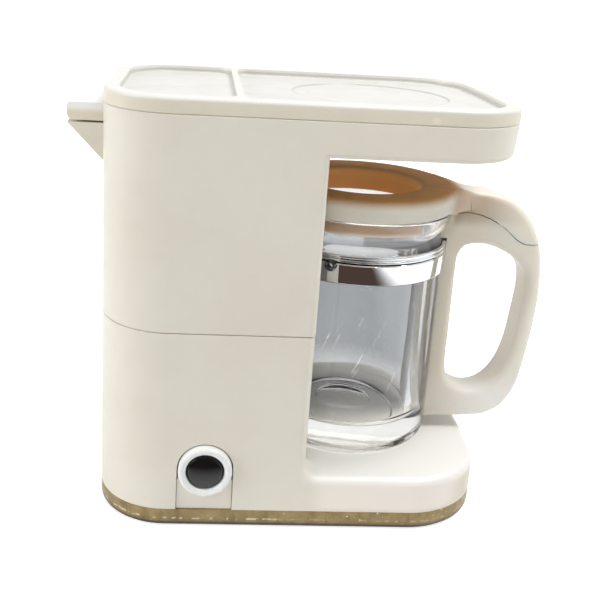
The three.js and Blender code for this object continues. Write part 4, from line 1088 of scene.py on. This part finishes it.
def carafe_cover():
    """The carafe's lid: a rounded ring with a wide hole, a plug below and the tongue."""
    radius, fillet, top = 13.4, 7.0, 38.8
    side = HANDLE_HALF + fillet
    ahead = math.sqrt((radius + fillet) ** 2 - side ** 2)
    root = ahead * radius / (radius + fillet)

    def flare(x):
        """Half the tongue's width: a fillet runs out of the ring into its straight sides."""
        back = min(BREW + ahead - x, ahead - root)
        return side - math.sqrt(fillet ** 2 - back ** 2) if x < BREW + ahead else HANDLE_HALF

    hole, lip, plug_in, plug_out, plug_low, plug_high = 8.5, top - 1.4, 10.4, 11.1, 33.6, 34.8
    outline = [(radius - 0.2, 35.55), (radius, 35.75), *arc(radius - 0.55, top - 0.55, 0.55, 0, 90, 5)]
    outline += [*arc(hole + 0.8, top - 0.8, 0.8, 90, 180, 6), (hole, lip), (plug_in, lip)]
    outline += [(plug_in, plug_low)]
    outline += [(10.95, plug_low), (plug_out, 33.75), (plug_out, plug_high), (11.65, 35.15), (11.7, 35.55)]
    piece = lathed("carafe_cover", on_deck(outline), (BREW, 0))
    short, wide = (DECK + 33, DECK + plug_high), 12
    behind = block("behind_plug", (BREW - wide, BREW + wide), (-3, wide), short)
    beside = block("beside_plug", (BREW + 7, BREW + wide), (-wide, -2), short)
    shaped(piece, "DIFFERENCE", behind, beside)
    tongue = handle_loop("tongue", flare)
    past, aside, below = BREW + 60, 14, DECK + 35.52
    front_room = block("ahead", (BREW + root, past), (-aside, aside), (DECK, DECK + top))
    shaped(tongue, "INTERSECT", above_seat(0.14), front_room)
    near_flare = block("near_flare", (BREW, past), (-aside, -HANDLE_HALF), (DECK, below))
    far_flare = block("far_flare", (BREW, past), (HANDLE_HALF, aside), (DECK, below))
    shaped(tongue, "DIFFERENCE", near_flare, far_flare, rod("rim_room", 13.8, DECK, below, (BREW, 0)))
    shaped(piece, "UNION", tongue)
    soften(piece, 0.08, 60)
    return settle(piece, "carafe_lid", CARAFE_CREAM, "carafe_trim", "carafe_lid")


upper_shell()
lower_shell()
gold_pan()
top_cover()
switch_ring()
push_cap()
return_spring()
slot_plate()
clear_jug()
neck_band()
carafe_handle()
carafe_cover()


# ---------------------------------------------------------------- studio

FLOOR_GREY, SEEN_GLOW, THROUGH_GLOW = (0.78, 0.78, 0.78), 0.7, 0.3
VIEWER_DARK = (0.085, 0.055, 0.045, 1)
DAYLIGHT = 0.44
ROOM_GLOSS = 0.2        # how bright the room on the near side is for gloss


def add_floor():
    """White paper: it takes the shadow, looks white, and mirrors dark where the viewer stands."""
    let_go()
    bpy.ops.mesh.primitive_plane_add(size=6, location=(0, 0, 0))
    floor = bpy.context.object
    floor.name = "floor"
    made = Finish("floor_paper", FLOOR_GREY, 0.9)
    glossy, through = made.ray("Is Glossy Ray"), made.ray("Is Transmission Ray")
    seen = made.ray("Is Camera Ray") + glossy * (1 - through)
    made.wear("Emission Color", seen * SEEN_GLOW + through * THROUGH_GLOW)
    made.surface.inputs["Emission Strength"].default_value = 1
    made.surface.inputs["Specular IOR Level"].default_value = 0
    x, y = made.along(0), made.along(1)
    viewer = y.below(-45, -24) * x.below(56, 104) * (1 - through)
    dark = made.hand.node("ShaderNodeEmission", sockets={"Color": VIEWER_DARK, "Strength": 1.0})
    made.mix_in(viewer * glossy, dark)
    floor.data.materials.append(made.material)


def add_lamp(name, place_m, aim, width, power):
    """A round lamp in metres and watts, turned to a point."""
    data = bpy.data.lights.new(name, "AREA")
    data.shape = "DISK"
    data.size = width
    data.energy = power
    lamp = bpy.data.objects.new(name, data)
    bpy.context.scene.collection.objects.link(lamp)
    lamp.location = place_m
    lamp.rotation_mode = "QUATERNION"
    lamp.rotation_quaternion = (Vector(aim) - Vector(place_m)).to_track_quat("-Z", "Y")


def add_world():
    """White behind the object, plain soft light on it, and a dim room on the near side for gloss."""
    world = bpy.data.worlds.new("studio")
    bpy.context.scene.world = world
    world.use_nodes = True
    tree = world.node_tree
    hand = Wire(tree, 0)
    rays = hand.node("ShaderNodeLightPath").value.node.outputs
    looks = hand.node("ShaderNodeTexCoord", out=0)
    away = hand.node("ShaderNodeSeparateXYZ", sockets={0: looks}, out=1).between(-0.75, 0.05)
    gloss = Wire(tree, rays["Is Glossy Ray"]) * (away * (1 - ROOM_GLOSS) + ROOM_GLOSS)
    white = Wire(tree, rays["Is Camera Ray"]) + Wire(tree, rays["Is Transmission Ray"])
    diffuse = Wire(tree, rays["Is Diffuse Ray"]) * DAYLIGHT
    strength = (white + gloss + diffuse).at_most(1.0)
    back = tree.nodes["Background"]
    back.inputs["Color"].default_value = (1, 1, 1, 1)
    tree.links.new(strength.value, back.inputs["Strength"])


add_floor()
add_world()
add_lamp("above", (-0.05, 0.02, 0.6), (0, 0, 0.03), 0.4, 0.2)
add_lamp("rear_side", (-0.47, -0.16, 0.2), (0, 0, 0.03), 0.3, 1.1)
add_lamp("front_side", (0.2, -0.06, 0.45), (0.01, 0, 0.02), 0.25, 1.5)
bpy.context.scene.view_settings.view_transform = "Standard"
